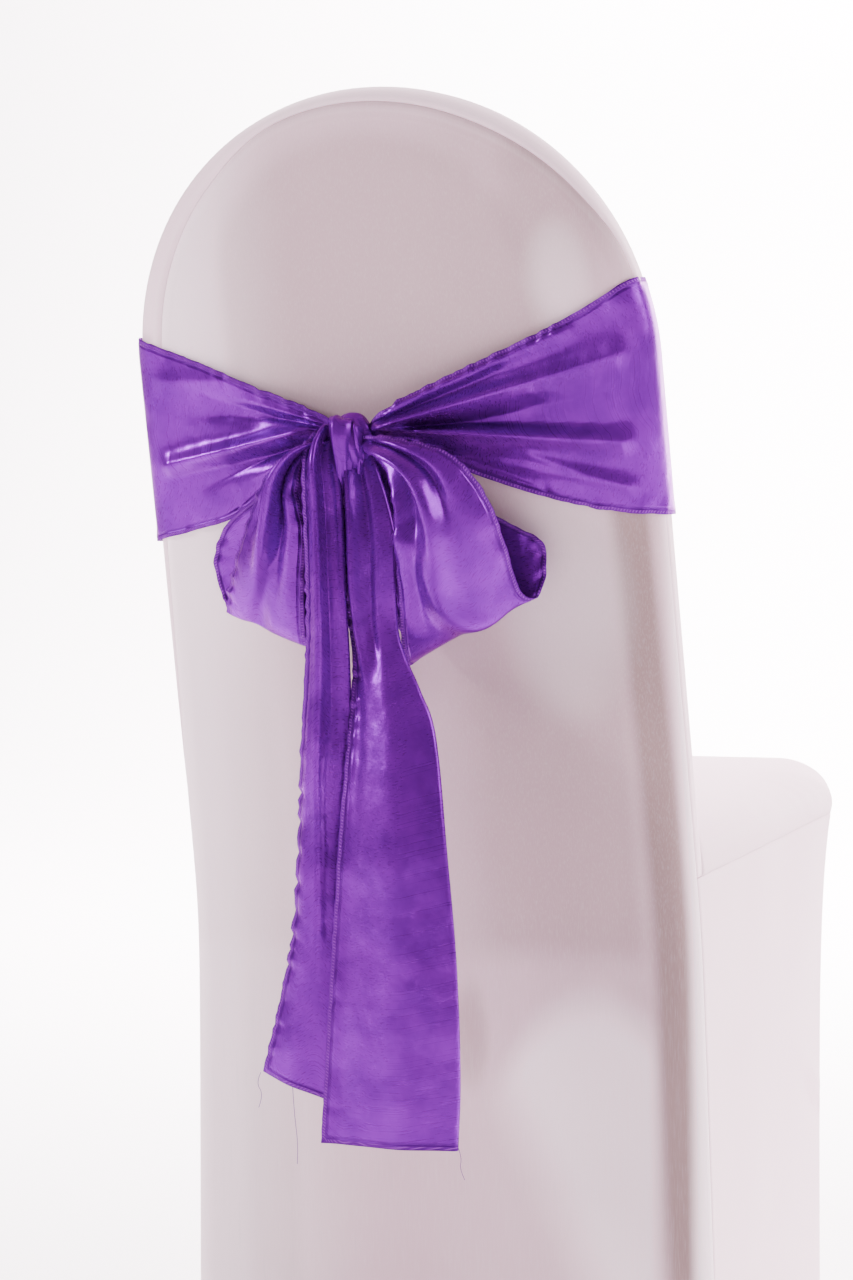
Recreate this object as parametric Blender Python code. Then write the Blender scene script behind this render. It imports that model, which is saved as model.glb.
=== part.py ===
"""A stretch cover for a dome-backed banquet chair, tied at the back with a satin sash.

The cover is sewn from a back panel, a front panel, a crowned seat panel and a skirt
with an arched front, and has a small reinforced pocket at each leg. The sash is one
strip of satin: a band round the chair back, a knot, two loops and two tails.
X runs across the chair, Y from its back (-) to the front of its seat (+), Z up.
The origin is at floor level, in the middle of the model's box. The chair is left out.
"""
import math
from collections import namedtuple

import bpy
import numpy as np

# Driving dimensions, in metres
COVER_SHEET = 0.0015          # thickness of the stretch cloth
SATIN_SHEET = 0.0012          # thickness of the sash
GAP = 0.0003                  # between the edges of two sewn panels
JOIN_CLEAR = 0.0014           # between the seat panel's rear edge and the inside back

FLOOR_HALF = 0.210            # half the cover's width at the floor
SEAT_LEVEL_HALF = 0.200       # half its width where the seat meets the back
SPRING_HALF = 0.194           # half its width where the dome starts
SPRING_Z = 0.812
DOME_RISE = 0.192
DOME_POWER = 2.03
DOME_LEAN = 0.004             # sideways lean of the dome's crown
REAR_Y = -0.1512               # outside of the back panel at the floor
LOW_SLOPE = 0.022             # rearward lean below the seat
HIGH_SLOPE = 0.267            # rearward lean of the chair back
KNEE_Z = 0.390
KNEE_SOFT = 0.040
BACK_DEPTH = 0.045            # thickness of the covered chair back
RIM_RADIUS = 0.018
FACE_INSET = 0.030            # where the flat faces end and the rim starts

SEAT_Z = 0.430                # the seat's welt
SEAT_CROWN = 0.048
SEAT_HALF = 0.2127            # half the seat's width at its front
SEAT_FRONT_Y = 0.3148
SEAT_CORNER = 0.030
SEAT_ROLL = 0.045             # width of its rolled edge
SEAT_BULGE = 0.008            # how far the roll stands out past the welt
LEG_INSET = 0.012             # how far the skirt draws in under the seat
LEG_INSET_DROP = 0.070        # over what drop it does so
ARCH_HALF = 0.147
ARCH_Z = 0.248
FOOT_NOTCH_HALF = 0.017
FOOT_NOTCH_Z = 0.016
FOOT_FROM_EDGE = 0.040
POCKET_HALF = 0.015
POCKET_Z = 0.020

BAND_CLEAR = 0.0025           # the band's stand-off from the cover
KNOT_X = -0.022
KNOT_Z = 0.755
KNOT_LIFT = 0.024             # from the back panel to the knot's middle

Seam = namedtuple("Seam", "turn wrap")
Row = namedtuple("Row", "at top foot lift")
Fold = namedtuple("Fold", "x0 z0 x1 z1 wide0 wide1 high0 high1")
Cut = namedtuple("Cut", "left_x left_z left_lift mid_lift right_x right_z right_lift")
Hang = namedtuple("Hang", "z left right out bow back")

# How far the edge seam lies round the rim, from the left foot over the dome to the right
EDGE_SEAM = (
    Seam(-2.00, 0.0270), Seam(-1.47, 0.0250), Seam(-1.30, 0.0140), Seam(-1.16, 0.0095),
    Seam(-0.95, -0.0030), Seam(-0.50, 0.0010), Seam(-0.23, 0.0080), Seam(0.23, 0.0060),
    Seam(0.58, 0.0120), Seam(0.75, 0.0200), Seam(1.20, 0.0250), Seam(1.47, 0.0250),
    Seam(2.00, 0.0270),
)

# The band's two arms on the rear face: place across, upper and lower edge, lift off the cover
RIGHT_ARM = (
    Row(-0.016, 0.764, 0.744, 0.018), Row(0.010, 0.782, 0.750, 0.018),
    Row(0.040, 0.7965, 0.7395, 0.014), Row(0.075, 0.812, 0.7260, 0.009),
    Row(0.112, 0.828, 0.7140, 0.005), Row(0.166, 0.853, 0.7030, 0.0025),
    Row(0.196, 0.868, 0.7008, 0.0025),
)
LEFT_ARM = (
    Row(-0.030, 0.765, 0.748, 0.018), Row(-0.042, 0.772, 0.744, 0.018),
    Row(-0.071, 0.7846, 0.7350, 0.012), Row(-0.101, 0.7955, 0.7170, 0.007),
    Row(-0.127, 0.807, 0.7001, 0.005), Row(-0.160, 0.820, 0.6905, 0.0025),
    Row(-0.196, 0.833, 0.6814, 0.0025),
)
FRONT_TOP_Z, FRONT_FOOT_Z = 0.846, 0.684

# Gathers that run out of the knot into the arms: + stands up, - sinks in
ARM_FOLDS = (
    Fold(0.005, 0.777, 0.130, 0.828, 0.004, 0.007, 0.004, 0.003),
    Fold(0.011, 0.768, 0.180, 0.815, 0.005, 0.013, 0.010, 0.004),
    Fold(0.020, 0.765, 0.160, 0.775, 0.005, 0.012, -0.008, -0.003),
    Fold(0.013, 0.763, 0.190, 0.752, 0.004, 0.010, 0.008, 0.005),
    Fold(0.040, 0.749, 0.130, 0.720, 0.006, 0.012, -0.006, -0.002),
    Fold(-0.060, 0.768, -0.175, 0.788, 0.005, 0.008, -0.004, -0.004),
    Fold(-0.066, 0.762, -0.185, 0.736, 0.005, 0.010, 0.008, 0.005),
    Fold(-0.070, 0.752, -0.178, 0.722, 0.005, 0.008, -0.004, -0.003),
)

# Cross-cuts of the right loop: front layer from the knot down, then the back layer home
RIGHT_LOOP = (
    Cut(-0.012, 0.748, 0.030, 0.032, -0.014, 0.760, 0.032),
    Cut(0.006, 0.738, 0.036, 0.052, 0.020, 0.757, 0.044),
    Cut(0.0130, 0.716, 0.042, 0.060, 0.060, 0.7450, 0.050),
    Cut(0.0140, 0.690, 0.046, 0.063, 0.082, 0.7150, 0.048),
    Cut(0.0125, 0.655, 0.046, 0.058, 0.0915, 0.680, 0.044),
    Cut(0.0095, 0.622, 0.042, 0.046, 0.0970, 0.648, 0.036),
    Cut(0.0075, 0.597, 0.036, 0.037, 0.1060, 0.642, 0.028),
    Cut(0.0060, 0.592, 0.028, 0.029, 0.1120, 0.655, 0.021),
    Cut(0.0030, 0.600, 0.020, 0.021, 0.1130, 0.672, 0.017),
    Cut(-0.0070, 0.630, 0.015, 0.017, 0.1090, 0.684, 0.015),
    Cut(-0.0120, 0.660, 0.015, 0.018, 0.0850, 0.697, 0.017),
    Cut(-0.0060, 0.695, 0.018, 0.022, 0.0560, 0.717, 0.020),
    Cut(-0.0120, 0.735, 0.021, 0.024, 0.0150, 0.742, 0.022),
    Cut(-0.0220, 0.752, 0.022, 0.023, -0.0120, 0.755, 0.023),
)
LEFT_LOOP = (
    Cut(-0.0330, 0.760, 0.030, 0.032, -0.0300, 0.750, 0.030),
    Cut(-0.0600, 0.752, 0.040, 0.045, -0.0520, 0.742, 0.040),
    Cut(-0.0860, 0.730, 0.042, 0.055, -0.0590, 0.720, 0.048),
    Cut(-0.1030, 0.700, 0.040, 0.058, -0.0560, 0.690, 0.050),
    Cut(-0.1190, 0.668, 0.036, 0.055, -0.0610, 0.656, 0.050),
    Cut(-0.1300, 0.643, 0.031, 0.046, -0.0660, 0.622, 0.046),
    Cut(-0.1340, 0.630, 0.026, 0.036, -0.0680, 0.607, 0.040),
    Cut(-0.1350, 0.632, 0.021, 0.028, -0.0690, 0.604, 0.032),
    Cut(-0.1400, 0.645, 0.017, 0.021, -0.0690, 0.610, 0.024),
    Cut(-0.1435, 0.668, 0.015, 0.018, -0.0660, 0.640, 0.018),
    Cut(-0.1310, 0.694, 0.016, 0.018, -0.0600, 0.675, 0.017),
    Cut(-0.1000, 0.716, 0.021, 0.023, -0.0520, 0.710, 0.020),
    Cut(-0.0600, 0.744, 0.023, 0.025, -0.0400, 0.735, 0.022),
    Cut(-0.0330, 0.757, 0.023, 0.024, -0.0280, 0.750, 0.023),
)
# The tails: height, left and right edge, distance behind the knot's face, bow, turned-back part
LEFT_TAIL = (
    Hang(0.764, -0.0450, -0.0260, -0.0060, 0.001, 0.004),
    Hang(0.758, -0.0510, -0.0290, 0.0000, 0.003, 0.006),
    Hang(0.742, -0.0545, -0.0320, 0.0040, 0.005, 0.012),
    Hang(0.713, -0.0550, -0.0345, 0.0040, 0.006, 0.018),
    Hang(0.640, -0.0535, -0.0330, 0.003, 0.005, 0.020),
    Hang(0.580, -0.0570, -0.0300, 0.001, 0.005, 0.024),
    Hang(0.500, -0.0625, -0.0260, -0.001, 0.005, 0.030),
    Hang(0.412, -0.0680, -0.0210, -0.002, 0.004, 0.038),
    Hang(0.350, -0.0800, -0.0150, -0.003, 0.004, 0.044),
    Hang(0.296, -0.0945, -0.0090, -0.004, 0.003, 0.050),
)
RIGHT_TAIL = (
    Hang(0.752, -0.026, -0.016, -0.016, 0.000, 0.004),
    Hang(0.735, -0.0230, -0.0050, 0.000, 0.004, 0.010),
    Hang(0.690, -0.0215, 0.0130, 0.006, 0.006, 0.018),
    Hang(0.625, -0.0215, 0.0280, 0.008, 0.007, 0.026),
    Hang(0.560, -0.0250, 0.0408, 0.009, 0.006, 0.036),
    Hang(0.470, -0.0295, 0.0505, 0.010, 0.006, 0.046),
    Hang(0.370, -0.0362, 0.0590, 0.011, 0.004, 0.056),
    Hang(0.300, -0.0408, 0.0608, 0.011, 0.003, 0.062),
    Hang(0.249, -0.0445, 0.0585, 0.011, 0.002, 0.066),
)
LEFT_TAIL_HEM_DROP = 0.030    # how much lower the left tail's hem is on its right
TAIL_FOLD_RADIUS = 0.003

# Rows and columns of the meshes
SIDE_ROWS_Z = (0.0, 0.12, 0.24, 0.32, 0.36, 0.395, SEAT_Z, 0.51, 0.61, 0.71, SPRING_Z)
DOME_COLUMNS = 17
RIM_STEPS = 4
SEAT_STEPS = (0.0, 0.06, 0.2, 0.42, 0.7, 1.0)
SEAT_PLACES = (0.2, 0.4, 0.6, 0.8, 1.0, 1.33, 1.67, 2.0, 2.25)
BAND_ACROSS = 9
LOOP_ACROSS = 7
TAIL_ACROSS = 5


# Plain helpers
def smooth(at, knots, values):
    """A cubic curve through the values, with slopes taken from their neighbours."""
    knots = np.asarray(knots, float)
    values = np.asarray(values, float)
    at = np.asarray(at, float)
    slopes = np.gradient(values, knots)
    i = np.clip(np.searchsorted(knots, at, side="right") - 1, 0, len(knots) - 2)
    step = knots[i + 1] - knots[i]
    t = (at - knots[i]) / step
    near = values[i] * (1 + 2 * t) + slopes[i] * step * t
    far = values[i + 1] * (3 - 2 * t) - slopes[i + 1] * step * (1 - t)
    return near * (1 - t) ** 2 + far * t ** 2


def steady(at, knots, values):
    """A cubic curve through the values that never overshoots them."""
    knots = np.asarray(knots, float)
    values = np.asarray(values, float)
    rates = np.diff(values) / np.diff(knots)
    slopes = np.concatenate([[rates[0]], np.zeros(len(rates) - 1), [rates[-1]]])
    same = rates[1:] * rates[:-1] > 0
    slopes[1:-1][same] = 2 * rates[1:][same] * rates[:-1][same] / (rates[1:] + rates[:-1])[same]
    i = min(max(int(np.searchsorted(knots, at, side="right")) - 1, 0), len(knots) - 2)
    step = knots[i + 1] - knots[i]
    t = (at - knots[i]) / step
    near = values[i] * (1 + 2 * t) + slopes[i] * step * t
    far = values[i + 1] * (3 - 2 * t) - slopes[i + 1] * step * (1 - t)
    return near * (1 - t) ** 2 + far * t ** 2


def column(rows, name):
    return [getattr(row, name) for row in rows]


def quarter_round(t):
    """Height share of a rolled edge, t being the share of its width from the edge."""
    t = np.clip(t, 0.0, 1.0)
    return np.sqrt(1.0 - (1.0 - t) ** 2)


def unit(vector):
    return vector / np.linalg.norm(vector)


def surface_normal(surface, a, b, step=1e-4):
    """Normal of a surface given as a function of two parameters."""
    along_a = surface(a + step, b) - surface(a - step, b)
    along_b = surface(a, b + step) - surface(a, b - step)
    return unit(np.cross(along_a, along_b))


def new_material(name, colour, roughness):
    material = bpy.data.materials.new(name)
    material.use_nodes = True
    shader = material.node_tree.nodes["Principled BSDF"]
    shader.inputs["Base Color"].default_value = (*colour, 1.0)
    shader.inputs["Roughness"].default_value = roughness
    shader.inputs["Metallic"].default_value = 0.0
    return material


def add_object(name, points, faces, material):
    mesh = bpy.data.meshes.new(name)
    mesh.from_pydata([tuple(map(float, p)) for p in points], [], faces)
    mesh.validate()
    mesh.shade_smooth()
    mesh.set_sharp_from_angle(angle=math.radians(50))
    mesh.materials.append(material)
    thing = bpy.data.objects.new(name, mesh)
    bpy.context.scene.collection.objects.link(thing)
    return thing


class Patchwork:
    """An open surface built up from grids that share vertices, then thickened inward."""

    def __init__(self):
        self.points = []
        self.normals = []
        self.faces = []

    def vertex(self, point, normal):
        self.points.append(np.asarray(point, float))
        self.normals.append(np.asarray(normal, float))
        return len(self.points) - 1

    def grid(self, indices, flip=False):
        """Triangles over a list of rows of vertex numbers."""
        for low, high in zip(indices, indices[1:]):
            for k in range(len(low) - 1):
                for face in ([low[k], low[k + 1], high[k + 1]], [low[k], high[k + 1], high[k]]):
                    self.faces.append(face[::-1] if flip else face)

    def thicken(self, name, thickness, material):
        """Closes the surface into a sheet whose outside is the surface itself."""
        count = len(self.points)
        inner = [p - n * thickness for p, n in zip(self.points, self.normals)]
        for point in inner:
            point[2] = max(point[2], 0.0)
        edges = {}
        for face in self.faces:
            for a, b in zip(face, face[1:] + face[:1]):
                edges[(a, b)] = True
        faces = [list(face) for face in self.faces]
        faces += [[v + count for v in face[::-1]] for face in self.faces]
        for a, b in edges:
            if (b, a) not in edges:
                faces.append([b, a, a + count, b + count])
        return add_object(name, self.points + inner, faces, material)


def strip_solid(name, grid, thickness, material):
    """A closed sheet either side of a grid of points, its thickness centred on them."""
    grid = np.asarray(grid, float)
    along = np.gradient(grid, axis=0)
    across = np.gradient(grid, axis=1)
    normals = np.cross(across, along)
    normals /= np.linalg.norm(normals, axis=2, keepdims=True)
    work = Patchwork()
    outer = grid + normals * thickness / 2
    rows = [[work.vertex(p, n) for p, n in zip(*row)] for row in zip(outer, normals)]
    work.grid(rows)
    return work.thicken(name, thickness, material)


# The covered chair back
def rear_y(z):
    """Outside of the back panel: near plumb below the seat, leaning rearward above it."""
    rise = z - KNEE_Z
    bend = 0.5 * (rise + np.sqrt(rise * rise + KNEE_SOFT ** 2))
    floor_bend = 0.5 * (math.sqrt(KNEE_Z ** 2 + KNEE_SOFT ** 2) - KNEE_Z)
    return REAR_Y - LOW_SLOPE * z - (HIGH_SLOPE - LOW_SLOPE) * (bend - floor_bend)


def half_width(z):
    return np.interp(z, (0.0, 0.45, SPRING_Z), (FLOOR_HALF, SEAT_LEVEL_HALF, SPRING_HALF))


def outline(turn):
    """Edge of the cover seen from behind: -2 left foot, -1 to 1 over the dome, 2 right foot."""
    if abs(turn) > 1.0:
        z = SPRING_Z * (2.0 - abs(turn))
        return np.array([math.copysign(half_width(z), turn), z])
    angle = turn * math.pi / 2
    share = 2.0 / DOME_POWER
    x = math.copysign(SPRING_HALF * abs(math.sin(angle)) ** share, turn)
    z = SPRING_Z + DOME_RISE * max(math.cos(angle), 0.0) ** share
    return np.array([x + DOME_LEAN * math.cos(angle), z])


def outline_normal(turn):
    ahead = outline(min(turn + 0.004, 2.0)) - outline(max(turn - 0.004, -2.0))
    return unit(np.array([-ahead[1], ahead[0]]))


def side_turn(z, side):
    """The outline's parameter at height z on the left (-1) or right (1) side."""
    return side * (2.0 - z / SPRING_Z)


def front_wrap(inset):
    """Wrap at which the rim's front corner has come inset metres in from the outline."""
    start = RIM_RADIUS * math.pi / 2 + BACK_DEPTH - 2 * RIM_RADIUS
    if inset < RIM_RADIUS:
        return start + RIM_RADIUS * math.acos(1 - inset / RIM_RADIUS)
    return start + RIM_RADIUS * math.pi / 2 + inset - RIM_RADIUS


def rim_section(wrap):
    """Inset from the outline and depth from the rear face, wrap metres round the rim."""
    quarter = RIM_RADIUS * math.pi / 2
    flat = BACK_DEPTH - 2 * RIM_RADIUS
    if wrap <= 0.0:
        return RIM_RADIUS - wrap, 0.0
    if wrap <= quarter:
        angle = wrap / RIM_RADIUS
        return RIM_RADIUS * (1 - math.sin(angle)), RIM_RADIUS * (1 - math.cos(angle))
    if wrap <= quarter + flat:
        return 0.0, RIM_RADIUS + wrap - quarter
    if wrap <= 2 * quarter + flat:
        angle = (wrap - quarter - flat) / RIM_RADIUS
        depth = BACK_DEPTH - RIM_RADIUS + RIM_RADIUS * math.sin(angle)
        return RIM_RADIUS * (1 - math.cos(angle)), depth
    return RIM_RADIUS + wrap - 2 * quarter - flat, BACK_DEPTH


def rim_point(turn, wrap):
    inset, depth = rim_section(wrap)
    x, z = outline(turn) - outline_normal(turn) * inset
    return np.array([x, rear_y(z) + depth, z])


def rim_normal(turn, wrap):
    turn = min(max(turn, -1.998), 1.998)
    return surface_normal(rim_point, turn, wrap, 5e-4)


def face_point(share, z, depth):
    """Point on the flat rear (depth 0) or front face, share from -1 to 1 across it."""
    x = share * (half_width(min(z, SPRING_Z)) - FACE_INSET)
    x += DOME_LEAN * math.sqrt(max(1 - share ** 2, 0.0)) * np.clip((z - SPRING_Z) / DOME_RISE, 0, 1)
    return np.array([x, rear_y(z) + depth, z])


def face_normal(z, outward):
    slope = (rear_y(z + 1e-3) - rear_y(z - 1e-3)) / 2e-3
    return unit(np.array([0.0, 1.0, -slope])) * outward


def seam_wrap(turn):
    return float(steady(turn, column(EDGE_SEAM, "turn"), column(EDGE_SEAM, "wrap")))


def seat_rear_roll():
    """Width of the seat's rolled edge where it meets the chair back."""
    return half_width(SEAT_Z) - (SEAT_HALF - SEAT_ROLL)


def seat_profile(inset):
    """Height of the seat's rear edge, inset metres in from its side, in the seat's own facets."""
    heights = [SEAT_CROWN * quarter_round(step) for step in SEAT_STEPS]
    return SEAT_Z + float(np.interp(inset / seat_rear_roll(), SEAT_STEPS, heights))


def dome_turns():
    return np.linspace(-1.0, 1.0, DOME_COLUMNS)


def faced_panel(work, wraps_at, feet_at, depth, flip):
    """A rim strip and the flat face inside it.

    wraps_at(turn) lists wraps from the strip's outer edge to the face, and feet_at(inset)
    is the height at which the panel ends.
    """
    steps = len(wraps_at(0.0))
    loop = []
    for side, rows in ((-1, SIDE_ROWS_Z), (0, None), (1, SIDE_ROWS_Z[::-1])):
        if side == 0:
            loop += [("dome", turn) for turn in dome_turns()[1:-1]]
        else:
            loop += [(side, z) for z in rows]
    lowest = feet_at(0.0)
    loop = [(kind, v) for kind, v in loop if kind == "dome" or v > lowest - 0.02]
    strip = []
    for step in range(steps):
        line = []
        for kind, value in loop:
            if kind == "dome":
                turn = value
            else:
                wrap = wraps_at(side_turn(value, kind))[step]
                inset, rim_depth = rim_section(wrap)
                foot = feet_at(inset if rim_depth > BACK_DEPTH / 2 else 0.0)
                share = (value - SEAT_Z) / (SPRING_Z - SEAT_Z) if lowest > 0.1 else value / SPRING_Z
                turn = side_turn(foot + max(share, 0.0) * (SPRING_Z - foot), kind)
            wrap = wraps_at(turn)[step]
            point = rim_point(turn, wrap)
            point[2] = max(point[2], 0.0)
            line.append(work.vertex(point, rim_normal(turn, wrap)))
        strip.append(line)
    work.grid(strip, flip)
    # The flat face: its left, top and right edges are the strip's last line
    edge = strip[-1]
    rows = (len(loop) - (DOME_COLUMNS - 2)) // 2
    left, top, right = edge[:rows], edge[rows - 1:-rows + 1], edge[-rows:][::-1]
    outward = 1.0 if depth > 0 else -1.0
    face_rows = []
    for j in range(rows):
        line = [left[j]]
        for k in range(1, DOME_COLUMNS - 1):
            share = math.sin(dome_turns()[k] * math.pi / 2)
            peak = work.points[top[k]]
            if j == rows - 1:
                line.append(top[k])
                continue
            x_low = share * (half_width(SEAT_Z) - FACE_INSET)
            foot = feet_at(half_width(SEAT_Z) - abs(x_low))
            rise = (work.points[left[j]][2] - work.points[left[0]][2])
            rise /= work.points[left[-1]][2] - work.points[left[0]][2]
            z = foot + rise * (peak[2] - foot)
            point = face_point(share, z, depth)
            pull = np.clip((z - SPRING_Z) / max(peak[2] - SPRING_Z, 1e-6), 0.0, 1.0)
            point[0] += (peak[0] - face_point(share, peak[2], depth)[0]) * pull
            line.append(work.vertex(point, face_normal(z, outward)))
        line.append(right[j])
        face_rows.append(line)
    work.grid(face_rows, not flip)


def back_panel(material):
    def wraps_at(turn):
        return np.linspace(seam_wrap(turn) - GAP / 2, RIM_RADIUS - FACE_INSET, RIM_STEPS + 1)

    work = Patchwork()
    faced_panel(work, wraps_at, lambda inset: 0.0, 0.0, flip=True)
    return work.thicken("back_panel", COVER_SHEET, material)


def front_panel(material):
    def wraps_at(turn):
        insets = [seat_rear_roll() * step for step in SEAT_STEPS[:-1]] + [FACE_INSET]
        return [seam_wrap(turn) + GAP / 2] + [front_wrap(inset) for inset in insets]

    def feet_at(inset):
        return max(seat_profile(inset) - COVER_SHEET, SEAT_Z + JOIN_CLEAR)

    work = Patchwork()
    faced_panel(work, wraps_at, feet_at, BACK_DEPTH, flip=False)
    return work.thicken("front_panel", COVER_SHEET, material)


# The seat and the skirt
def skirt_plan(place, z):
    """Plan position of the skirt: 0-1 left side, 1-2 corner, 2-3 front, 3-4 corner, 4-5 right."""
    draw_in = LEG_INSET * (1 - math.exp(-max(SEAT_Z - z, 0.0) / LEG_INSET_DROP))
    front = SEAT_FRONT_Y - draw_in
    half = SEAT_HALF - 0.7 * draw_in
    mirror = -1.0
    if place > 2.5:
        place = 5.0 - place
        mirror = 1.0
    if place <= 1.0:
        start = np.array([half_width(z), rear_y(z) + RIM_RADIUS])
        end = np.array([half, front - SEAT_CORNER])
        x, y = start + (end - start) * place
    elif place <= 2.0:
        angle = (place - 1.0) * math.pi / 2
        x = half - SEAT_CORNER * (1 - math.cos(angle))
        y = front - SEAT_CORNER * (1 - math.sin(angle))
    else:
        x = (half - SEAT_CORNER) * (1 - 2 * (place - 2.0))
        y = front
    return np.array([mirror * x, y])


def skirt_point(place, z):
    x, y = skirt_plan(place, z)
    return np.array([x, y, z])


def side_length():
    return float(np.linalg.norm(skirt_plan(1.0, 0.0) - skirt_plan(0.0, 0.0)))


def foot_places():
    """Where the feet's middles are along the left side, as shares of it."""
    return FOOT_FROM_EDGE / side_length(), 1.0 - 0.010 / side_length()


def skirt_foot_z(place):
    """Lower edge of the skirt: the front arch and a half-round notch at each foot."""
    if place > 2.5:
        place = 5.0 - place
    if place >= 2.0:
        x = abs(skirt_plan(place, 0.0)[0])
        return ARCH_Z * math.sqrt(max(1 - (x / ARCH_HALF) ** 2, 0.0)) if x < ARCH_HALF else 0.0
    for middle in foot_places():
        away = abs(min(place, 1.0) - middle) * side_length()
        if place <= 1.0 and away < FOOT_NOTCH_HALF:
            return FOOT_NOTCH_Z * math.sqrt(1 - (away / FOOT_NOTCH_HALF) ** 2)
    return 0.0


def side_places():
    """Columns of the left side: close together round the feet, wide apart between them."""
    reach = FOOT_NOTCH_HALF / side_length()
    rear, front = foot_places()
    around = [reach * math.sin(math.radians(a)) for a in (-90, -50, 0, 50, 90)]
    places = [0.0] + [rear + r for r in around] + [0.30, 0.45, 0.60, 0.75]
    places += [front + r for r in around if front + r < 0.995]
    return places + [1.0]


def skirt_places():
    """All of the skirt's columns from the left rear seam round the front to the right."""
    half = (SEAT_HALF - 0.7 * LEG_INSET) - SEAT_CORNER
    front = [2.5 - 0.5 * ARCH_HALF * math.sin(math.radians(a)) / half for a in (90, 72, 54, 36, 18, 0)]
    left = side_places() + [1.33, 1.67, 2.0] + front
    return left + [5.0 - place for place in left[-2::-1]]


def skirt(material):
    work = Patchwork()
    rows_z = [z for z in SIDE_ROWS_Z if z <= SEAT_Z]
    places = skirt_places()
    rows = []
    for z in rows_z:
        line = []
        for place in places:
            foot = skirt_foot_z(place)
            height = foot + (z / SEAT_Z) * (SEAT_Z - GAP - foot)
            seam = place
            if place == 0.0:
                seam = seam_place(height, -1)
            elif place == 5.0:
                seam = 5.0 - seam_place(height, 1)
            point = skirt_point(seam, height)
            normal = -surface_normal(skirt_point, min(max(seam, 0.01), 4.99), height)
            line.append(work.vertex(point, normal))
        rows.append(line)
    work.grid(rows, flip=True)
    return work.thicken("skirt", COVER_SHEET, material)


def seam_place(z, side):
    """Place along the side at which the skirt's rear edge meets the back panel's seam."""
    depth = rim_section(seam_wrap(side_turn(z, side)) + GAP / 2)[1]
    return (depth - RIM_RADIUS) / float(np.linalg.norm(skirt_plan(1.0, z) - skirt_plan(0.0, z)))


def seat_panel(material):
    """A crowned top inside a rolled edge strip that ends at the welt."""
    work = Patchwork()
    rear = rear_y(SEAT_Z) + BACK_DEPTH + JOIN_CLEAR
    top_length = float(np.linalg.norm(skirt_plan(1.0, SEAT_Z) - skirt_plan(0.0, SEAT_Z)))
    start = (rear - RIM_RADIUS - skirt_plan(0.0, SEAT_Z)[1]) / top_length
    left = [start] + list(SEAT_PLACES)
    places = left + [2.5] + [5.0 - place for place in left[::-1]]
    middle = sum(1 for place in places if place < 1.5)
    across = len(places) - 2 * middle
    half = SEAT_HALF - SEAT_ROLL
    front = SEAT_FRONT_Y - SEAT_ROLL
    shares = [place / 1.5 for place in places[:middle]] + [1.0]
    shares = [(s - shares[0]) / (1.0 - shares[0]) for s in shares]

    def inner_point(index):
        if index < middle:
            return np.array([-half, rear + (front - rear) * shares[index] * 0.97])
        if index >= middle + across:
            x, y = inner_point(len(places) - 1 - index)
            return np.array([-x, y])
        share = (index - middle + 0.5) / across
        return np.array([-half * math.cos(share * math.pi), front])

    def edge_point(index, step):
        """step 0 at the welt, 1 at the top's edge."""
        plan = skirt_plan(places[index], SEAT_Z)
        x, y = plan + (inner_point(index) - plan) * step
        height = quarter_round(step)
        z = SEAT_Z + SEAT_CROWN * height
        swell = min(index / 3, 1.0, (len(places) - 1 - index) / 3)
        bulge = SEAT_BULGE * swell * 4 * height * (1 - height)
        outward = unit(plan - inner_point(index))
        x, y = np.array([x, y]) + outward * bulge
        if index in (0, len(places) - 1):
            inset = max(half_width(SEAT_Z) - abs(x), 0.0)
            x = math.copysign(half_width(z) - inset, x)
            y = rear_y(z) + rim_section(front_wrap(inset))[1] + JOIN_CLEAR
        else:
            y += (rear_y(z) - rear_y(SEAT_Z)) * max(0.0, 1.0 - (y - rear) / 0.12)
        return np.array([x, y, z])

    strip = []
    for step in SEAT_STEPS:
        line = []
        for index in range(len(places)):
            low, high = max(index - 1, 0), min(index + 1, len(places) - 1)
            along = edge_point(high, step) - edge_point(low, step)
            inward = edge_point(index, min(step + 0.01, 1.0)) - edge_point(index, max(step - 0.01, 0.0))
            if step == 0.0:
                inward = np.array([0.0, 0.0, 1.0])
            line.append(work.vertex(edge_point(index, step), unit(np.cross(inward, along))))
        strip.append(line)
    work.grid(strip, flip=True)
    edge = strip[-1]
    left, top, right = edge[:middle], edge[middle:middle + across], edge[middle + across:][::-1]
    lines = []
    for j in range(middle):
        start_point, end_point = work.points[left[j]], work.points[right[j]]
        line = [left[j]]
        for k in range(across):
            share = (work.points[top[k]][0] + half) / (2 * half)
            point = start_point + (end_point - start_point) * share
            line.append(work.vertex(point, (0.0, 0.0, 1.0)))
        lines.append(line + [right[j]])
    work.grid(lines)
    last = lines[-1]
    work.faces.append([last[0], last[1], top[0]])
    for k in range(across - 1):
        work.faces.append([last[k + 1], last[k + 2], top[k + 1], top[k]])
    work.faces.append([last[-2], last[-1], top[-1]])
    return work.thicken("seat_panel", COVER_SHEET, material)


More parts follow.
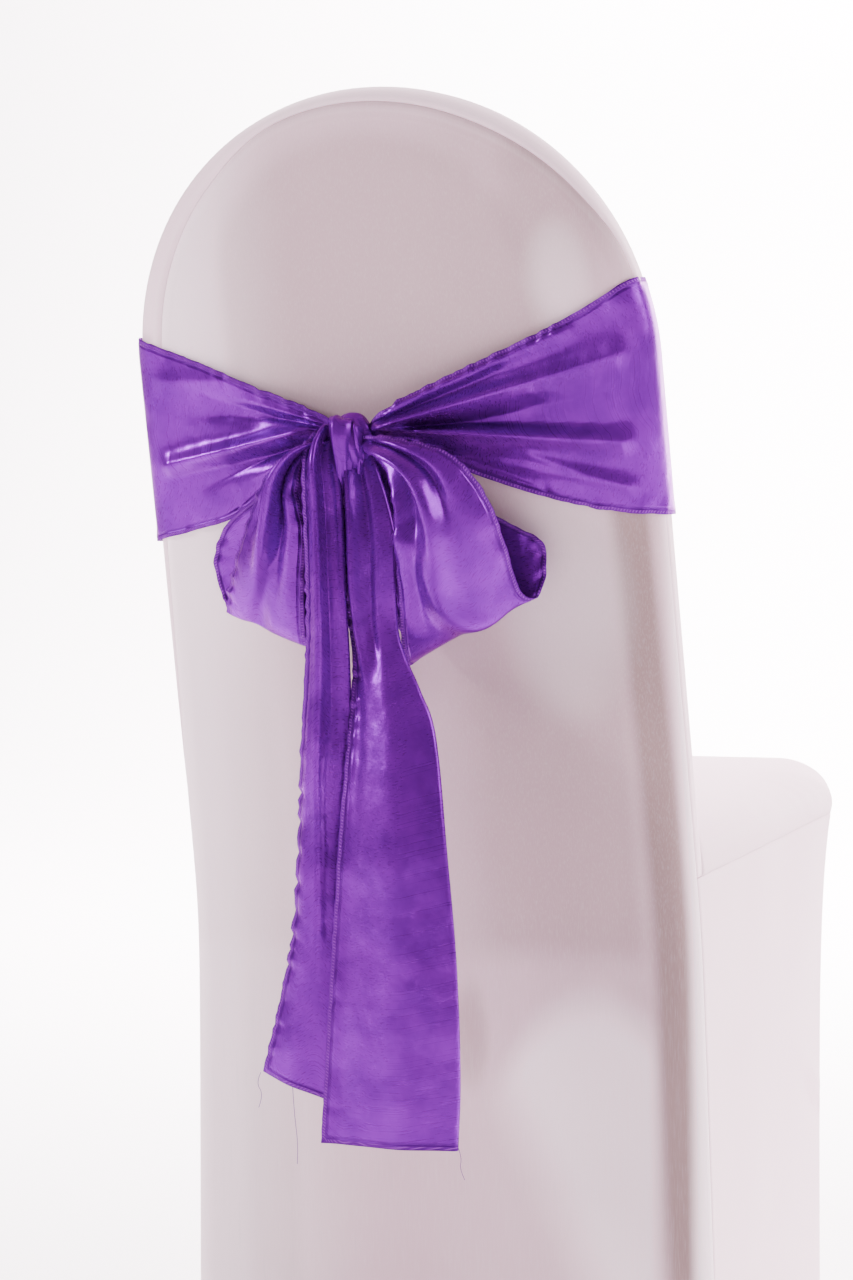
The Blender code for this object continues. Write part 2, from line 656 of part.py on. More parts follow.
def foot_pocket(name, place, material):
    """A shallow open cup for a chair leg, just inside the cover's corner."""
    x, y = skirt_plan(place, 0.0)
    x -= math.copysign(POCKET_HALF + COVER_SHEET + 0.0015, x)
    side_steps = 12
    floor = COVER_SHEET
    inner = POCKET_HALF - COVER_SHEET
    loops = (
        (inner, POCKET_Z), (POCKET_HALF, POCKET_Z), (POCKET_HALF, 0.0),
        (0.45 * POCKET_HALF, 0.0),
    )
    inside = ((0.45 * POCKET_HALF, floor), (inner, floor))
    points = []
    for radius, z in loops + inside:
        for k in range(side_steps):
            angle = 2 * math.pi * k / side_steps
            points.append((x + radius * math.cos(angle), y + radius * math.sin(angle), z))
    faces = []

    def join(lower, upper):
        for k in range(side_steps):
            nxt = (k + 1) % side_steps
            faces.append([lower * side_steps + k, upper * side_steps + k,
                          upper * side_steps + nxt, lower * side_steps + nxt])

    join(0, 1)
    join(1, 2)
    join(2, 3)
    join(4, 5)
    join(5, 0)
    faces.append([3 * side_steps + k for k in range(side_steps)][::-1])
    faces.append([4 * side_steps + k for k in range(side_steps)])
    return add_object(name, points, faces, material)


# The sash
def relief(x, z, folds):
    """Lift added by the folds at a place on the arms."""
    total = 0.0
    for fold in folds:
        run = np.array([fold.x1 - fold.x0, fold.z1 - fold.z0])
        length = np.linalg.norm(run)
        offset = np.array([x - fold.x0, z - fold.z0])
        t = offset @ run / length ** 2
        across = (offset[0] * run[1] - offset[1] * run[0]) / length
        fade = np.clip((t + 0.15) / 0.15, 0, 1) * np.clip((1.12 - t) / 0.12, 0, 1)
        t = np.clip(t, 0, 1)
        wide = fold.wide0 + (fold.wide1 - fold.wide0) * t
        high = fold.high0 + (fold.high1 - fold.high0) * t
        total += high * math.exp(-(across / wide) ** 2) * fade
    return total


def band_half(z):
    return half_width(min(z, SPRING_Z)) + BAND_CLEAR


def arm_point(arm, x, share):
    """Point on an arm, share 0 at its lower edge and 1 at its upper edge."""
    order = arm if arm[0].at < arm[-1].at else arm[::-1]
    at = column(order, "at")
    top = float(smooth(x, at, column(order, "top")))
    foot = float(smooth(x, at, column(order, "foot")))
    lift = float(np.interp(x, at, column(order, "lift")))
    z = foot + (top - foot) * share
    clear = max(lift + relief(x, z, ARM_FOLDS), BAND_CLEAR)
    corner = max(abs(x) - (band_half(z) - RIM_RADIUS), 0.0) / RIM_RADIUS
    turned = RIM_RADIUS * (1 - math.sqrt(max(1 - min(corner, 1.0) ** 2, 0.0)))
    return np.array([x, rear_y(z) - clear + turned, z])


def band_grid():
    """Rows of the band from the knot's right side round the front to its left side."""
    shares = np.linspace(0, 1, BAND_ACROSS)
    corner_angles = np.radians((20, 42, 65, 90))
    rows = []
    for x in (-0.014, 0.008, 0.022, 0.036, 0.052, 0.070, 0.090, 0.112, 0.136, 0.158, 0.174):
        rows.append([arm_point(RIGHT_ARM, x, s) for s in shares])
    around = []
    for side in (1, -1):
        half_turn = []
        edge = RIGHT_ARM[-1] if side > 0 else LEFT_ARM[-1]
        for angle in corner_angles:
            half_turn.append((side, "rear", angle, edge.top, edge.foot))
        for angle in corner_angles[::-1]:
            share = 0.25 * (1 - angle / corner_angles[-1])
            top = edge.top + (FRONT_TOP_Z - edge.top) * share
            foot = edge.foot + (FRONT_FOOT_Z - edge.foot) * share
            half_turn.append((side, "front", angle, top, foot))
        around.append(half_turn)
    right, left = around
    right_rows = [turn_row(*turn, shares) for turn in right]
    left_rows = [turn_row(*turn, shares) for turn in left[::-1]]
    front_rows = []
    for x in (0.15, 0.11, 0.05, -0.01, -0.07, -0.12, -0.155):
        share = (x + 0.17) / 0.34
        top = FRONT_TOP_Z + 0.018 * (share - 0.5)
        foot = FRONT_FOOT_Z + 0.012 * (share - 0.5)
        line = []
        for s in shares:
            z = foot + (top - foot) * s
            line.append(np.array([x, rear_y(z) + BACK_DEPTH + BAND_CLEAR, z]))
        front_rows.append(line)
    rows += right_rows + front_rows + left_rows
    for x in (-0.174, -0.158, -0.140, -0.120, -0.100, -0.084, -0.070, -0.056, -0.044, -0.032):
        rows.append([arm_point(LEFT_ARM, x, s) for s in shares])
    return rows


def turn_row(side, face, angle, top, foot, shares):
    """One row of the band on a rounded corner of the chair back."""
    radius = RIM_RADIUS + BAND_CLEAR
    line = []
    for s in shares:
        z = foot + (top - foot) * s
        x = side * (band_half(z) - radius * (1 - math.sin(angle)))
        if face == "rear":
            y = rear_y(z) - BAND_CLEAR + radius * (1 - math.cos(angle))
        else:
            y = rear_y(z) + BACK_DEPTH + BAND_CLEAR - radius * (1 - math.cos(angle))
        line.append(np.array([x, y, z]))
    return line


def loop_grid(cuts):
    """A loop of the bow through its cross-cuts, each bowed by its middle lift."""
    knots = np.arange(len(cuts))
    steps = np.linspace(0, len(cuts) - 1, 2 * len(cuts) - 1)
    shares = np.linspace(0, 1, LOOP_ACROSS)
    track = {name: smooth(steps, knots, column(cuts, name)) for name in Cut._fields}
    rows = []
    for i in range(len(steps)):
        line = []
        for s in shares:
            x = track["left_x"][i] + (track["right_x"][i] - track["left_x"][i]) * s
            z = track["left_z"][i] + (track["right_z"][i] - track["left_z"][i]) * s
            ends = track["left_lift"][i] + (track["right_lift"][i] - track["left_lift"][i]) * s
            middle = (track["left_lift"][i] + track["right_lift"][i]) / 2
            lift = ends + (track["mid_lift"][i] - middle) * 4 * s * (1 - s)
            line.append(np.array([x, rear_y(z) - lift, z]))
        rows.append(line)
    return rows


def tail_plane():
    """Y of the plumb plane in which the tails hang."""
    return rear_y(KNOT_Z) - KNOT_LIFT - 0.013


def tail_grid(hangs, hem_drop):
    """A tail folded lengthwise: a front layer, a rounded fold at its right, a turned-back part."""
    knots = np.arange(len(hangs))
    steps = np.linspace(0, len(hangs) - 1, 2 * len(hangs) - 1)
    track = {name: smooth(steps, knots, column(hangs, name)) for name in Hang._fields}
    plane = tail_plane()
    rows = []
    for i in range(len(steps)):
        left, right = track["left"][i], track["right"][i]
        face = plane - track["out"][i]
        down = (i / (len(steps) - 1)) ** 3 * hem_drop
        radius = max(0.55 * TAIL_FOLD_RADIUS, min(TAIL_FOLD_RADIUS, 0.13 * (right - left)))
        line = []
        for s in np.linspace(0, 1, TAIL_ACROSS):
            x = left + (right - radius - left) * s
            y = face - track["bow"][i] * 4 * s * (1 - s)
            line.append(np.array([x, y, track["z"][i] - down * s]))
        for angle in (45, 90, 135):
            a = math.radians(angle)
            x = right - radius + radius * math.sin(a)
            line.append(np.array([x, face + radius * (1 - math.cos(a)), track["z"][i] - down]))
        for s in (0.0, 0.5, 1.0):
            x = right - radius - track["back"][i] * s
            line.append(np.array([x, face + 2 * radius + 0.001 * s, track["z"][i] - down]))
        rows.append(line)
    return rows


def knot_solid(name, material):
    """The knot: an upright rounded lump with a few wrapped pleats."""
    middle = np.array([KNOT_X, rear_y(KNOT_Z) - KNOT_LIFT, KNOT_Z])
    reach = (0.0155, 0.0165, 0.0230)
    around, up = 16, 9
    points = [middle + np.array([0, 0, -reach[2]])]
    for j in range(1, up):
        tilt = math.pi * j / up - math.pi / 2
        for k in range(around):
            angle = 2 * math.pi * k / around
            swell = 1 + 0.06 * math.cos(4 * angle)
            flat = abs(math.cos(tilt)) ** 0.8 * swell
            offset = (reach[0] * flat * math.cos(angle), reach[1] * flat * math.sin(angle),
                      reach[2] * math.sin(tilt))
            points.append(middle + np.array(offset))
    points.append(middle + np.array([0, 0, reach[2]]))
    faces = []
    for k in range(around):
        nxt = (k + 1) % around
        faces.append([0, 1 + nxt, 1 + k])
        for j in range(up - 2):
            low, high = 1 + j * around, 1 + (j + 1) * around
            faces.append([low + k, low + nxt, high + nxt, high + k])
        last = 1 + (up - 2) * around
        faces.append([last + k, last + nxt, len(points) - 1])
    return add_object(name, points, faces, material)


def sash(material):
    """One solid: the band, both loops, both tails and the knot, joined by Booleans."""
    body = knot_solid("sash", material)
    parts = (
        strip_solid("band_tool", band_grid(), SATIN_SHEET, material),
        strip_solid("right_loop_tool", loop_grid(RIGHT_LOOP), SATIN_SHEET, material),
        strip_solid("left_loop_tool", loop_grid(LEFT_LOOP), SATIN_SHEET, material),
        strip_solid("left_tail_tool", tail_grid(LEFT_TAIL, LEFT_TAIL_HEM_DROP), SATIN_SHEET, material),
        strip_solid("right_tail_tool", tail_grid(RIGHT_TAIL, 0.0), SATIN_SHEET, material),
    )
    for part in parts:
        part.hide_render = True
        part.display_type = "WIRE"
        union = body.modifiers.new(part.name, "BOOLEAN")
        union.operation = "UNION"
        union.solver = "EXACT"
        union.object = part
    return body


def build():
    for thing in list(bpy.data.objects):
        bpy.data.objects.remove(thing, do_unlink=True)
    stretch = new_material("stretch_cloth", (0.72, 0.66, 0.69), 0.75)
    pocket_cloth = new_material("pocket_cloth", (0.30, 0.22, 0.20), 0.85)
    satin = new_material("satin", (0.26, 0.08, 0.47), 0.35)
    back_panel(stretch)
    front_panel(stretch)
    seat_panel(stretch)
    skirt(stretch)
    rear, front = foot_places()
    for name, place in (("rear_left", rear), ("front_left", front),
                        ("front_right", 5.0 - front), ("rear_right", 5.0 - rear)):
        foot_pocket("foot_pocket_" + name, place, pocket_cloth)
    sash(satin)


build()
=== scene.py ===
# %% [markdown]
# # A stretch chair cover with a satin bow
# A banquet chair's cover is a tight, thin, slightly see-through knit. A strip of shiny satin goes
# once round the chair back and is tied behind it in a bow. Each piece of cloth here is a fine grid
# of points worked out from a few measurements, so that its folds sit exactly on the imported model.

# %% Load the frame
import math
from collections import namedtuple

import bpy
import numpy as np
from mathutils import Matrix, Vector


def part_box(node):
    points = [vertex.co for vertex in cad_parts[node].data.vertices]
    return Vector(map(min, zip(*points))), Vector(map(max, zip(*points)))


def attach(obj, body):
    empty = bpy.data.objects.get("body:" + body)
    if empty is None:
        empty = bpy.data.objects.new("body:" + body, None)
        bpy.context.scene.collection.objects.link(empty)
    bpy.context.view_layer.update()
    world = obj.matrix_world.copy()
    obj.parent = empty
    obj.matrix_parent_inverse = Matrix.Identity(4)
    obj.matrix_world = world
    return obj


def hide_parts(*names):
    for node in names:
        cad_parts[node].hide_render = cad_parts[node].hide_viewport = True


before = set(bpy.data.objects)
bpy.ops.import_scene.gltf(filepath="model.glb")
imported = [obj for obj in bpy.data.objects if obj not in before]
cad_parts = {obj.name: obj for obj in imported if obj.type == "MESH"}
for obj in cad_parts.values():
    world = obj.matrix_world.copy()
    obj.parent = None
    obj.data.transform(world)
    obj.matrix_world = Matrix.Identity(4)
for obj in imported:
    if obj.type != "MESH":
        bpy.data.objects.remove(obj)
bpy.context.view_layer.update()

LOW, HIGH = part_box("back_panel")
print("the cover is", round(HIGH[2] - LOW[2], 3), "m high")

# %% [markdown]
# ## Curves through a few measurements
# Cloth changes gently from place to place. A short table of measured places with a smooth curve
# through them describes it well, and is easy to change. `smooth` may swing a little past its
# values, like a bent strip of wood. `steady` never does.

# %% Curve helpers
def bent_line(at, knots, values, slopes):
    """The curve through the values that has the given slope at each knot."""
    i = np.clip(np.searchsorted(knots, at, side="right") - 1, 0, len(knots) - 2)
    step = knots[i + 1] - knots[i]
    t = (at - knots[i]) / step
    near = values[i] * (1 + 2 * t) + slopes[i] * step * t
    far = values[i + 1] * (3 - 2 * t) - slopes[i + 1] * step * (1 - t)
    return near * (1 - t) ** 2 + far * t ** 2


def smooth(at, knots, values):
    knots = np.asarray(knots, float)
    values = np.asarray(values, float)
    at = np.asarray(at, float)
    slopes = np.gradient(values, knots)
    return bent_line(at, knots, values, slopes)


def steady(at, knots, values):
    knots = np.asarray(knots, float)
    values = np.asarray(values, float)
    rates = np.diff(values) / np.diff(knots)
    slopes = np.concatenate([[rates[0]], np.zeros(len(rates) - 1), [rates[-1]]])
    same = rates[1:] * rates[:-1] > 0
    slopes[1:-1][same] = 2 * rates[1:][same] * rates[:-1][same] / (rates[1:] + rates[:-1])[same]
    return bent_line(at, knots, values, slopes)


def column(rows, name):
    return np.array([getattr(row, name) for row in rows], float)


def quarter_round(t):
    t = np.clip(t, 0.0, 1.0)
    return np.sqrt(1.0 - (1.0 - t) ** 2)


def ease(t):
    """0 to 1 with a soft start and end."""
    t = np.clip(t, 0.0, 1.0)
    return t * t * (3 - 2 * t)


def unit(vector):
    return np.asarray(vector, float) / np.linalg.norm(vector)


def wander(at, pitch, seed):
    """A smooth random wave between -1 and 1 that turns about once every pitch metres."""
    at = np.asarray(at, float) / pitch
    rng = np.random.default_rng(seed)
    waves = zip(rng.uniform(0.6, 1.7, 5), rng.uniform(0, 2 * math.pi, 5))
    return sum(np.sin(2 * math.pi * at * rate + phase) for rate, phase in waves) / 3.2


print("a quarter round rises to", float(quarter_round(0.5)))

# %% [markdown]
# ## From a grid of points to a sheet of cloth
# A sheet is a grid of quads with the Solidify modifier for its thickness. Two numbers are stored
# at each point: how far along the cloth it is and how far in from its cut edge. The materials
# read them, so a stitched hem follows the cloth round every fold without any texture map.

# %% Sheet helpers
STRETCH_SHEET, SATIN_SHEET = 0.0009, 0.0008


def store(mesh, name, values):
    layer = mesh.attributes.new(name, "FLOAT", "POINT")
    layer.data.foreach_set("value", np.asarray(values, np.float32).ravel())


def new_sheet(name, points, faces, thickness, stores, material):
    """A smooth-shaded mesh made thick on its inner side."""
    mesh = bpy.data.meshes.new(name)
    mesh.from_pydata([tuple(map(float, p)) for p in points], [], faces)
    mesh.update()
    mesh.polygons.foreach_set("use_smooth", [True] * len(mesh.polygons))
    for key, values in stores.items():
        store(mesh, key, values)
    thing = bpy.data.objects.new(name, mesh)
    bpy.context.scene.collection.objects.link(thing)
    thing.data.materials.append(material)
    solid = thing.modifiers.new("thickness", "SOLIDIFY")
    solid.thickness = thickness
    solid.offset = -1.0
    area = sum(face.area for face in mesh.polygons)
    print(name, "has", len(faces), "faces and", round(area, 4), "square metres")
    return thing


def grid_faces(rows, columns, flip=False):
    faces = []
    for i in range(rows - 1):
        for j in range(columns - 1):
            a = i * columns + j
            quad = (a, a + 1, a + columns + 1, a + columns)
            faces.append(quad[::-1] if flip else quad)
    return faces


def grid_steps(grid):
    """Distance along (down the rows) and across (over the columns) at each point of a grid."""
    along = np.linalg.norm(np.diff(grid, axis=0), axis=2)
    across = np.linalg.norm(np.diff(grid, axis=1), axis=2)
    along = np.vstack([np.zeros((1, grid.shape[1])), np.cumsum(along, axis=0)])
    across = np.hstack([np.zeros((grid.shape[0], 1)), np.cumsum(across, axis=1)])
    return along, across


def grid_normals(grid):
    normals = np.cross(np.gradient(grid, axis=1), np.gradient(grid, axis=0))
    return normals / np.maximum(np.linalg.norm(normals, axis=2, keepdims=True), 1e-12)


# %% [markdown]
# ## Writing shaders as sums
# A node tree is easier to read as arithmetic. `Value` wraps one socket, so `1 - edge * 2` adds the
# Math nodes by itself. `Paint` makes a material and adds every other kind of node.

# %% Shader helpers
class Value:
    def __init__(self, paint, socket):
        self.paint = paint
        self.socket = socket

    def __add__(self, other): return self.paint.maths("ADD", self, other)
    def __radd__(self, other): return self.paint.maths("ADD", other, self)
    def __sub__(self, other): return self.paint.maths("SUBTRACT", self, other)
    def __rsub__(self, other): return self.paint.maths("SUBTRACT", other, self)
    def __mul__(self, other): return self.paint.maths("MULTIPLY", self, other)
    def __rmul__(self, other): return self.paint.maths("MULTIPLY", other, self)
    def __truediv__(self, other): return self.paint.maths("DIVIDE", self, other)


class Paint:
    def __init__(self, name, **sockets):
        self.material = bpy.data.materials.new(name)
        self.material.use_nodes = True
        self.tree = self.material.node_tree
        self.shader = self.tree.nodes["Principled BSDF"]
        for key, value in sockets.items():
            self.shader.inputs[key.replace("_", " ")].default_value = value

    def node(self, kind, settings=None, output=0, **sockets):
        made = self.tree.nodes.new(kind)
        for key, value in (settings or {}).items():
            setattr(made, key, value)
        for key, value in sockets.items():
            place = int(key[1:]) if key[0] == "i" and key[1:].isdigit() else key.replace("_", " ")
            self.put(made.inputs[place], value)
        return Value(self, made.outputs[output])

    def put(self, socket, value):
        if isinstance(value, Value):
            self.tree.links.new(value.socket, socket)
        else:
            socket.default_value = value

    def maths(self, operation, a, b=0.0):
        return self.node("ShaderNodeMath", {"operation": operation}, i0=a, i1=b)

    def stored(self, name):
        return self.node("ShaderNodeAttribute", {"attribute_name": name}, output=2)

    def place(self):
        """Object coordinates split into x, y and z."""
        made = self.tree.nodes.new("ShaderNodeSeparateXYZ")
        where = self.node("ShaderNodeTexCoord", output=3)
        self.tree.links.new(where.socket, made.inputs[0])
        return [Value(self, made.outputs[k]) for k in range(3)]

    def vector(self, x, y, z):
        return self.node("ShaderNodeCombineXYZ", i0=x, i1=y, i2=z)

    def noise(self, vector, detail=2.0, rough=0.5):
        return self.node("ShaderNodeTexNoise", Vector=vector, Scale=1.0, Detail=detail, Roughness=rough)

    def blend(self, share, low, high):
        made = self.tree.nodes.new("ShaderNodeMix")
        made.data_type = "RGBA"
        self.put(made.inputs[0], share)
        self.put(made.inputs[6], low if isinstance(low, Value) else (*low, 1.0))
        self.put(made.inputs[7], high if isinstance(high, Value) else (*high, 1.0))
        return Value(self, made.outputs[2])

    def ramp(self, value, low, high):
        """0 below low, 1 above high, soft between."""
        return self.node("ShaderNodeMapRange", {"interpolation_type": "SMOOTHSTEP"},
                         Value=value, i1=low, i2=high)

    def blob(self, place, middle, reach):
        """A soft patch on the x-z plane: 1 in its middle, 0 outside its reach."""
        dx = (place[0] - middle[0]) / reach[0]
        dz = (place[2] - middle[1]) / reach[1]
        return 1 - self.ramp(dx * dx + dz * dz, 0.0, 1.0)

    def bump(self, height, distance, strength=1.0):
        return self.node("ShaderNodeBump", Height=height, Distance=distance, Strength=strength)

    def finish(self, **links):
        for key, value in links.items():
            self.put(self.shader.inputs[key.replace("_", " ")], value)
        return self.material


# %% [markdown]
# ## The stretch cloth
# Spandex this tight is almost smooth. Close up it has fine upright ribs with odd thicker yarns,
# and light comes through it. On the back panel the colour carries painted shade and painted light:
# soft darker shapes are painted shade where the chair inside (the padded back, the seat rail and
# the rear legs) would block the light coming through, and lighter patches are painted light on the
# left side, through the front arch and a painted highlight on the right rim. Real transparency would
# show an empty cover, since no chair is built, so each shape is one soft mask in a list, mixed into
# the colour in turn. A faint glow, painted light, stands for the light that comes through where
# nothing lies behind the knit.

# %% Stretch cloth material
PALE_KNIT, PALER_KNIT = (0.600, 0.395, 0.465), (0.650, 0.440, 0.510)
# Tints for painted shade where the chair would block light through the knit, and for painted light
CHAIR_SHADE_TINT, DAYLIGHT = (0.24, 0.150, 0.145), (0.95, 0.82, 0.88)
# The glow is painted light: emission standing in for light that comes through the knit
GLOW_TINT, NO_GLOW, PLAIN_GLOW = (1.0, 0.72, 0.86), (0.0, 0.0, 0.0), 0.9


def chair_shade_and_light(paint, place, colour):
    """Paints shade where the chair would block the light through the knit, and light on the left side, the
    arch and the right rim. Gives the colour and how much it glows.
    """
    x, y, z = place
    # Masks for painted light (lit left side, arch, right rim) and painted shade (pad, seat rail, legs)
    left_light = 1 - paint.ramp(x, -0.175, -0.05)
    pad_shade = paint.ramp(paint.blob(place, (-0.005, 0.845), (0.150, 0.150)), 0.02, 0.35)
    above_rail = paint.ramp(z, 0.352, 0.385) * (1 - paint.ramp(z, 0.55, 0.70))
    right_half = paint.ramp(x, 0.000, 0.060) * (1 - paint.ramp(x, 0.150, 0.172))
    lean = x + (z - 0.30) * 0.03
    right_leg_shade = paint.ramp(lean, 0.163, 0.178) * (1 - paint.ramp(lean, 0.193, 0.203))
    left_leg_shade = paint.ramp(x, -0.170, -0.150) * (1 - paint.ramp(x, -0.125, -0.110))
    across = (x - 0.120) / 0.105
    rise = 0.338 - across * across * 0.13
    arch = (1 - paint.ramp(z - rise, -0.030, 0.022)) * (1 - paint.ramp(x, 0.160, 0.175))
    arch = arch * paint.ramp(x + (z - 0.30) * 0.45, 0.000, 0.070)
    rim = paint.ramp(x, 0.190, 0.202) * (1 - paint.ramp(z, 0.78, 0.86))
    # Each entry mixes in painted shade of the chair or painted light, by its mask and depth
    for mask, depth, tint in (
            (left_light, 0.55, DAYLIGHT),
            (pad_shade * paint.ramp(x, -0.130, -0.112), 0.34, CHAIR_SHADE_TINT),
            (paint.blob(place, (0.137, 0.925), (0.055, 0.075)), 0.42, CHAIR_SHADE_TINT),
            (paint.blob(place, (0.100, 0.965), (0.080, 0.035)), 0.22, CHAIR_SHADE_TINT),
            (paint.blob(place, (0.132, 0.868), (0.030, 0.050)), 0.30, DAYLIGHT),
            (above_rail * right_half, 0.42, CHAIR_SHADE_TINT),
            (above_rail * (1 - paint.ramp(x, -0.04, 0.02)), 0.14, CHAIR_SHADE_TINT),
            (right_leg_shade * (1 - paint.ramp(z, 0.68, 0.80)), 0.85, CHAIR_SHADE_TINT),
            (paint.blob(place, (0.120, 0.640), (0.060, 0.110)), 0.35, DAYLIGHT),
            (left_leg_shade * (1 - paint.ramp(z, 0.52, 0.66)), 0.16, CHAIR_SHADE_TINT),
            (arch, 0.40, DAYLIGHT),
            (paint.blob(place, (0.024, 0.305), (0.018, 0.052)), 0.45, CHAIR_SHADE_TINT),
            (rim, 0.6, DAYLIGHT)):
        colour = paint.blend(mask * depth, colour, tint)
    # The emission is painted light: light coming through the knit on the left, at the arch and the rim
    glow = (1 - paint.ramp(x, -0.185, -0.06)) * paint.ramp(z, 0.1, 0.6) * 0.75
    glow = glow + arch * 0.45 + rim * 0.8
    return colour, glow + paint.blob(place, (0.137, 0.868), (0.025, 0.055)) * 0.12


def stretch_cloth(name, with_chair_light_and_shade):
    paint = Paint(name, Roughness=0.82, Sheen_Weight=0.25, Sheen_Roughness=0.45,
                  Specular_IOR_Level=0.25, Emission_Strength=0.8)
    place = paint.place()
    x, y, z = place
    ribs = paint.noise(paint.vector(x * 1300, y * 1300, z * 60), 2.0)
    slubs = paint.noise(paint.vector(x * 420, y * 420, z * 18), 3.0, 0.6)
    drift = paint.noise(paint.vector(x * 9, y * 9, z * 5), 3.0)
    colour = paint.blend(paint.ramp(drift, 0.3, 0.7), PALE_KNIT, PALER_KNIT)
    # Without the chair masks the cover glows evenly: painted light
    glow = PLAIN_GLOW
    if with_chair_light_and_shade:
        colour, glow = chair_shade_and_light(paint, place, colour)
    edge = paint.stored("edge")
    seam = 1 - paint.ramp(edge, 0.0002, 0.0012)
    # A lighter band along the ridge beside the seam: a painted highlight
    fold = paint.ramp(edge, 0.0022, 0.004) * (1 - paint.ramp(edge, 0.0065, 0.008))
    for mask, depth, tint in (
            (paint.ramp(slubs, 0.55, 0.75), 0.16, (0.50, 0.43, 0.46)),
            (paint.ramp(ribs, 0.45, 0.75), 0.10, (0.86, 0.80, 0.83)),
            (seam, 0.22, (0.40, 0.33, 0.35)),
            (fold, 0.06, (0.88, 0.82, 0.85))):
        colour = paint.blend(mask * depth, colour, tint)
    height = ribs * 0.5 + slubs * 0.8 + paint.ramp(edge, 0.005, 0.0075) * -0.6
    return paint.finish(Base_Color=colour, Roughness=0.80 - ribs * 0.12,
                        Emission_Color=paint.blend(glow, NO_GLOW, GLOW_TINT),
                        Normal=paint.bump(height, 0.00025, 0.6))


REAR_CLOTH = stretch_cloth("rear_stretch_cloth", True)
COVER_CLOTH = stretch_cloth("stretch_cloth", False)
print("stretch cloth made")

# %% [markdown]
# ## The satin
# Satin's long floats of thread throw light back almost like a mirror, in the cloth's own colour.
# A half-metallic shader does the same, and broad soft waves in the bump break up its shine. Lighter
# clouds mixed into its colour are painted sheen. Its edge is overlocked: a narrow darker ridge of
# thread with a light dot at each stitch, which draws the cloth into small puckers. The groove just
# inside the hem is darkened with painted shade.

# %% Satin material
HEM_WIDTH, STITCHES_PER_M = 0.0030, 430
# The lighter cloud colour is painted sheen
SATIN_BODY, SHEEN_CLOUD_TINT, SATIN_FLOAT = (0.105, 0.002, 0.235), (0.160, 0.004, 0.330), (0.22, 0.02, 0.42)
# The hem colour darkens the thread ridge, and as painted shade the groove beside it
HEM_SHADE, STITCH_LIGHT = (0.050, 0.002, 0.120), (0.42, 0.08, 0.66)


def satin_cloth():
    paint = Paint("satin", Metallic=0.60, Specular_IOR_Level=0.20, Roughness=0.3)
    paint.shader.inputs["Specular Tint"].default_value = (1.0, 0.45, 1.0, 1.0)
    along, edge = paint.stored("along"), paint.stored("edge")
    x, y, z = paint.place()
    floats = paint.noise(paint.vector(along * 900, edge * 260, x * 4), 2.0)
    threads = paint.noise(paint.vector(x * 1500, y * 1500, z * 1500), 1.0)
    crumple = paint.noise(paint.vector(x * 55, y * 55, z * 38), 4.0, 0.55)
    sheen_clouds = paint.noise(paint.vector(x * 22, y * 22, z * 22), 4.0, 0.6)
    waves = paint.noise(paint.vector(x * 26, y * 26, z * 17), 2.0)
    # Painted sheen: random lighter clouds in the satin's colour
    colour = paint.blend(paint.ramp(sheen_clouds, 0.35, 0.65), SATIN_BODY, SHEEN_CLOUD_TINT)
    colour = paint.blend(paint.ramp(floats, 0.5, 0.8) * 0.12, colour, SATIN_FLOAT)
    ridge = 1 - paint.ramp(edge, HEM_WIDTH, HEM_WIDTH + 0.0008)
    # The groove beside the hem ridge is darkened: painted shade
    valley = paint.ramp(edge, HEM_WIDTH, HEM_WIDTH + 0.0010) * (1 - paint.ramp(edge, 0.0048, 0.0062))
    colour = paint.blend(ridge * 0.45 + valley * 0.55, colour, HEM_SHADE)
    beat = paint.node("ShaderNodeMath", {"operation": "FRACT"}, i0=along * STITCHES_PER_M)
    dot = paint.ramp(beat, 0.25, 0.40) * (1 - paint.ramp(beat, 0.60, 0.75))
    row = paint.ramp(edge, 0.0006, 0.0012) * (1 - paint.ramp(edge, 0.0024, 0.0030))
    colour = paint.blend(dot * row * 0.45, colour, STITCH_LIGHT)
    roughness = 0.27 + paint.ramp(floats, 0.3, 0.8) * 0.04 + ridge * 0.25
    height = floats * 0.05 + threads * 0.05 + crumple * 2.0 + waves * 9.0
    height = height + dot * row * 0.45 + ridge * 0.7 - valley * 0.8
    return paint.finish(Base_Color=colour, Roughness=roughness,
                        Normal=paint.bump(height, 0.0004, 0.9))


def pocket_cloth():
    paint = Paint("pocket_cloth", Roughness=0.8, Sheen_Weight=0.2)
    x, y, z = paint.place()
    weave = paint.noise(paint.vector(x * 900, y * 900, z * 900), 2.0)
    colour = paint.blend(paint.ramp(weave, 0.35, 0.65), (0.40, 0.27, 0.23), (0.47, 0.33, 0.29))
    # The top of the cup is darkened: painted shade at the edge
    rim_shade = paint.ramp(z, 0.0160, 0.0172)
    colour = paint.blend(rim_shade * 0.8, colour, (0.10, 0.07, 0.08))
    return paint.finish(Base_Color=colour, Normal=paint.bump(weave, 0.0003, 0.7))


SATIN = satin_cloth()
POCKET = pocket_cloth()
print("satin and pocket cloth made")

# %% [markdown]
# ## The shape of the covered chair back
# Seen from behind the back is an upright with a half-round dome. From the side it rises nearly
# plumb from the floor, then leans rearward above the seat. The rim is a rounded edge strip, and a
# seam runs round it: behind it lies the back panel, in front of it the front panel.

# %% The back's measurements
FLOOR_HALF, SEAT_LEVEL_HALF, SPRING_HALF = 0.210, 0.200, 0.194
SPRING_Z, DOME_RISE, DOME_POWER, DOME_LEAN = 0.812, 0.192, 2.03, 0.004
REAR_Y, LOW_SLOPE, HIGH_SLOPE, KNEE_Z, KNEE_SOFT = -0.1512, 0.022, 0.267, 0.390, 0.040
BACK_DEPTH, RIM_RADIUS, FACE_INSET = 0.045, 0.018, 0.030
SEAM_GAP = 0.0003

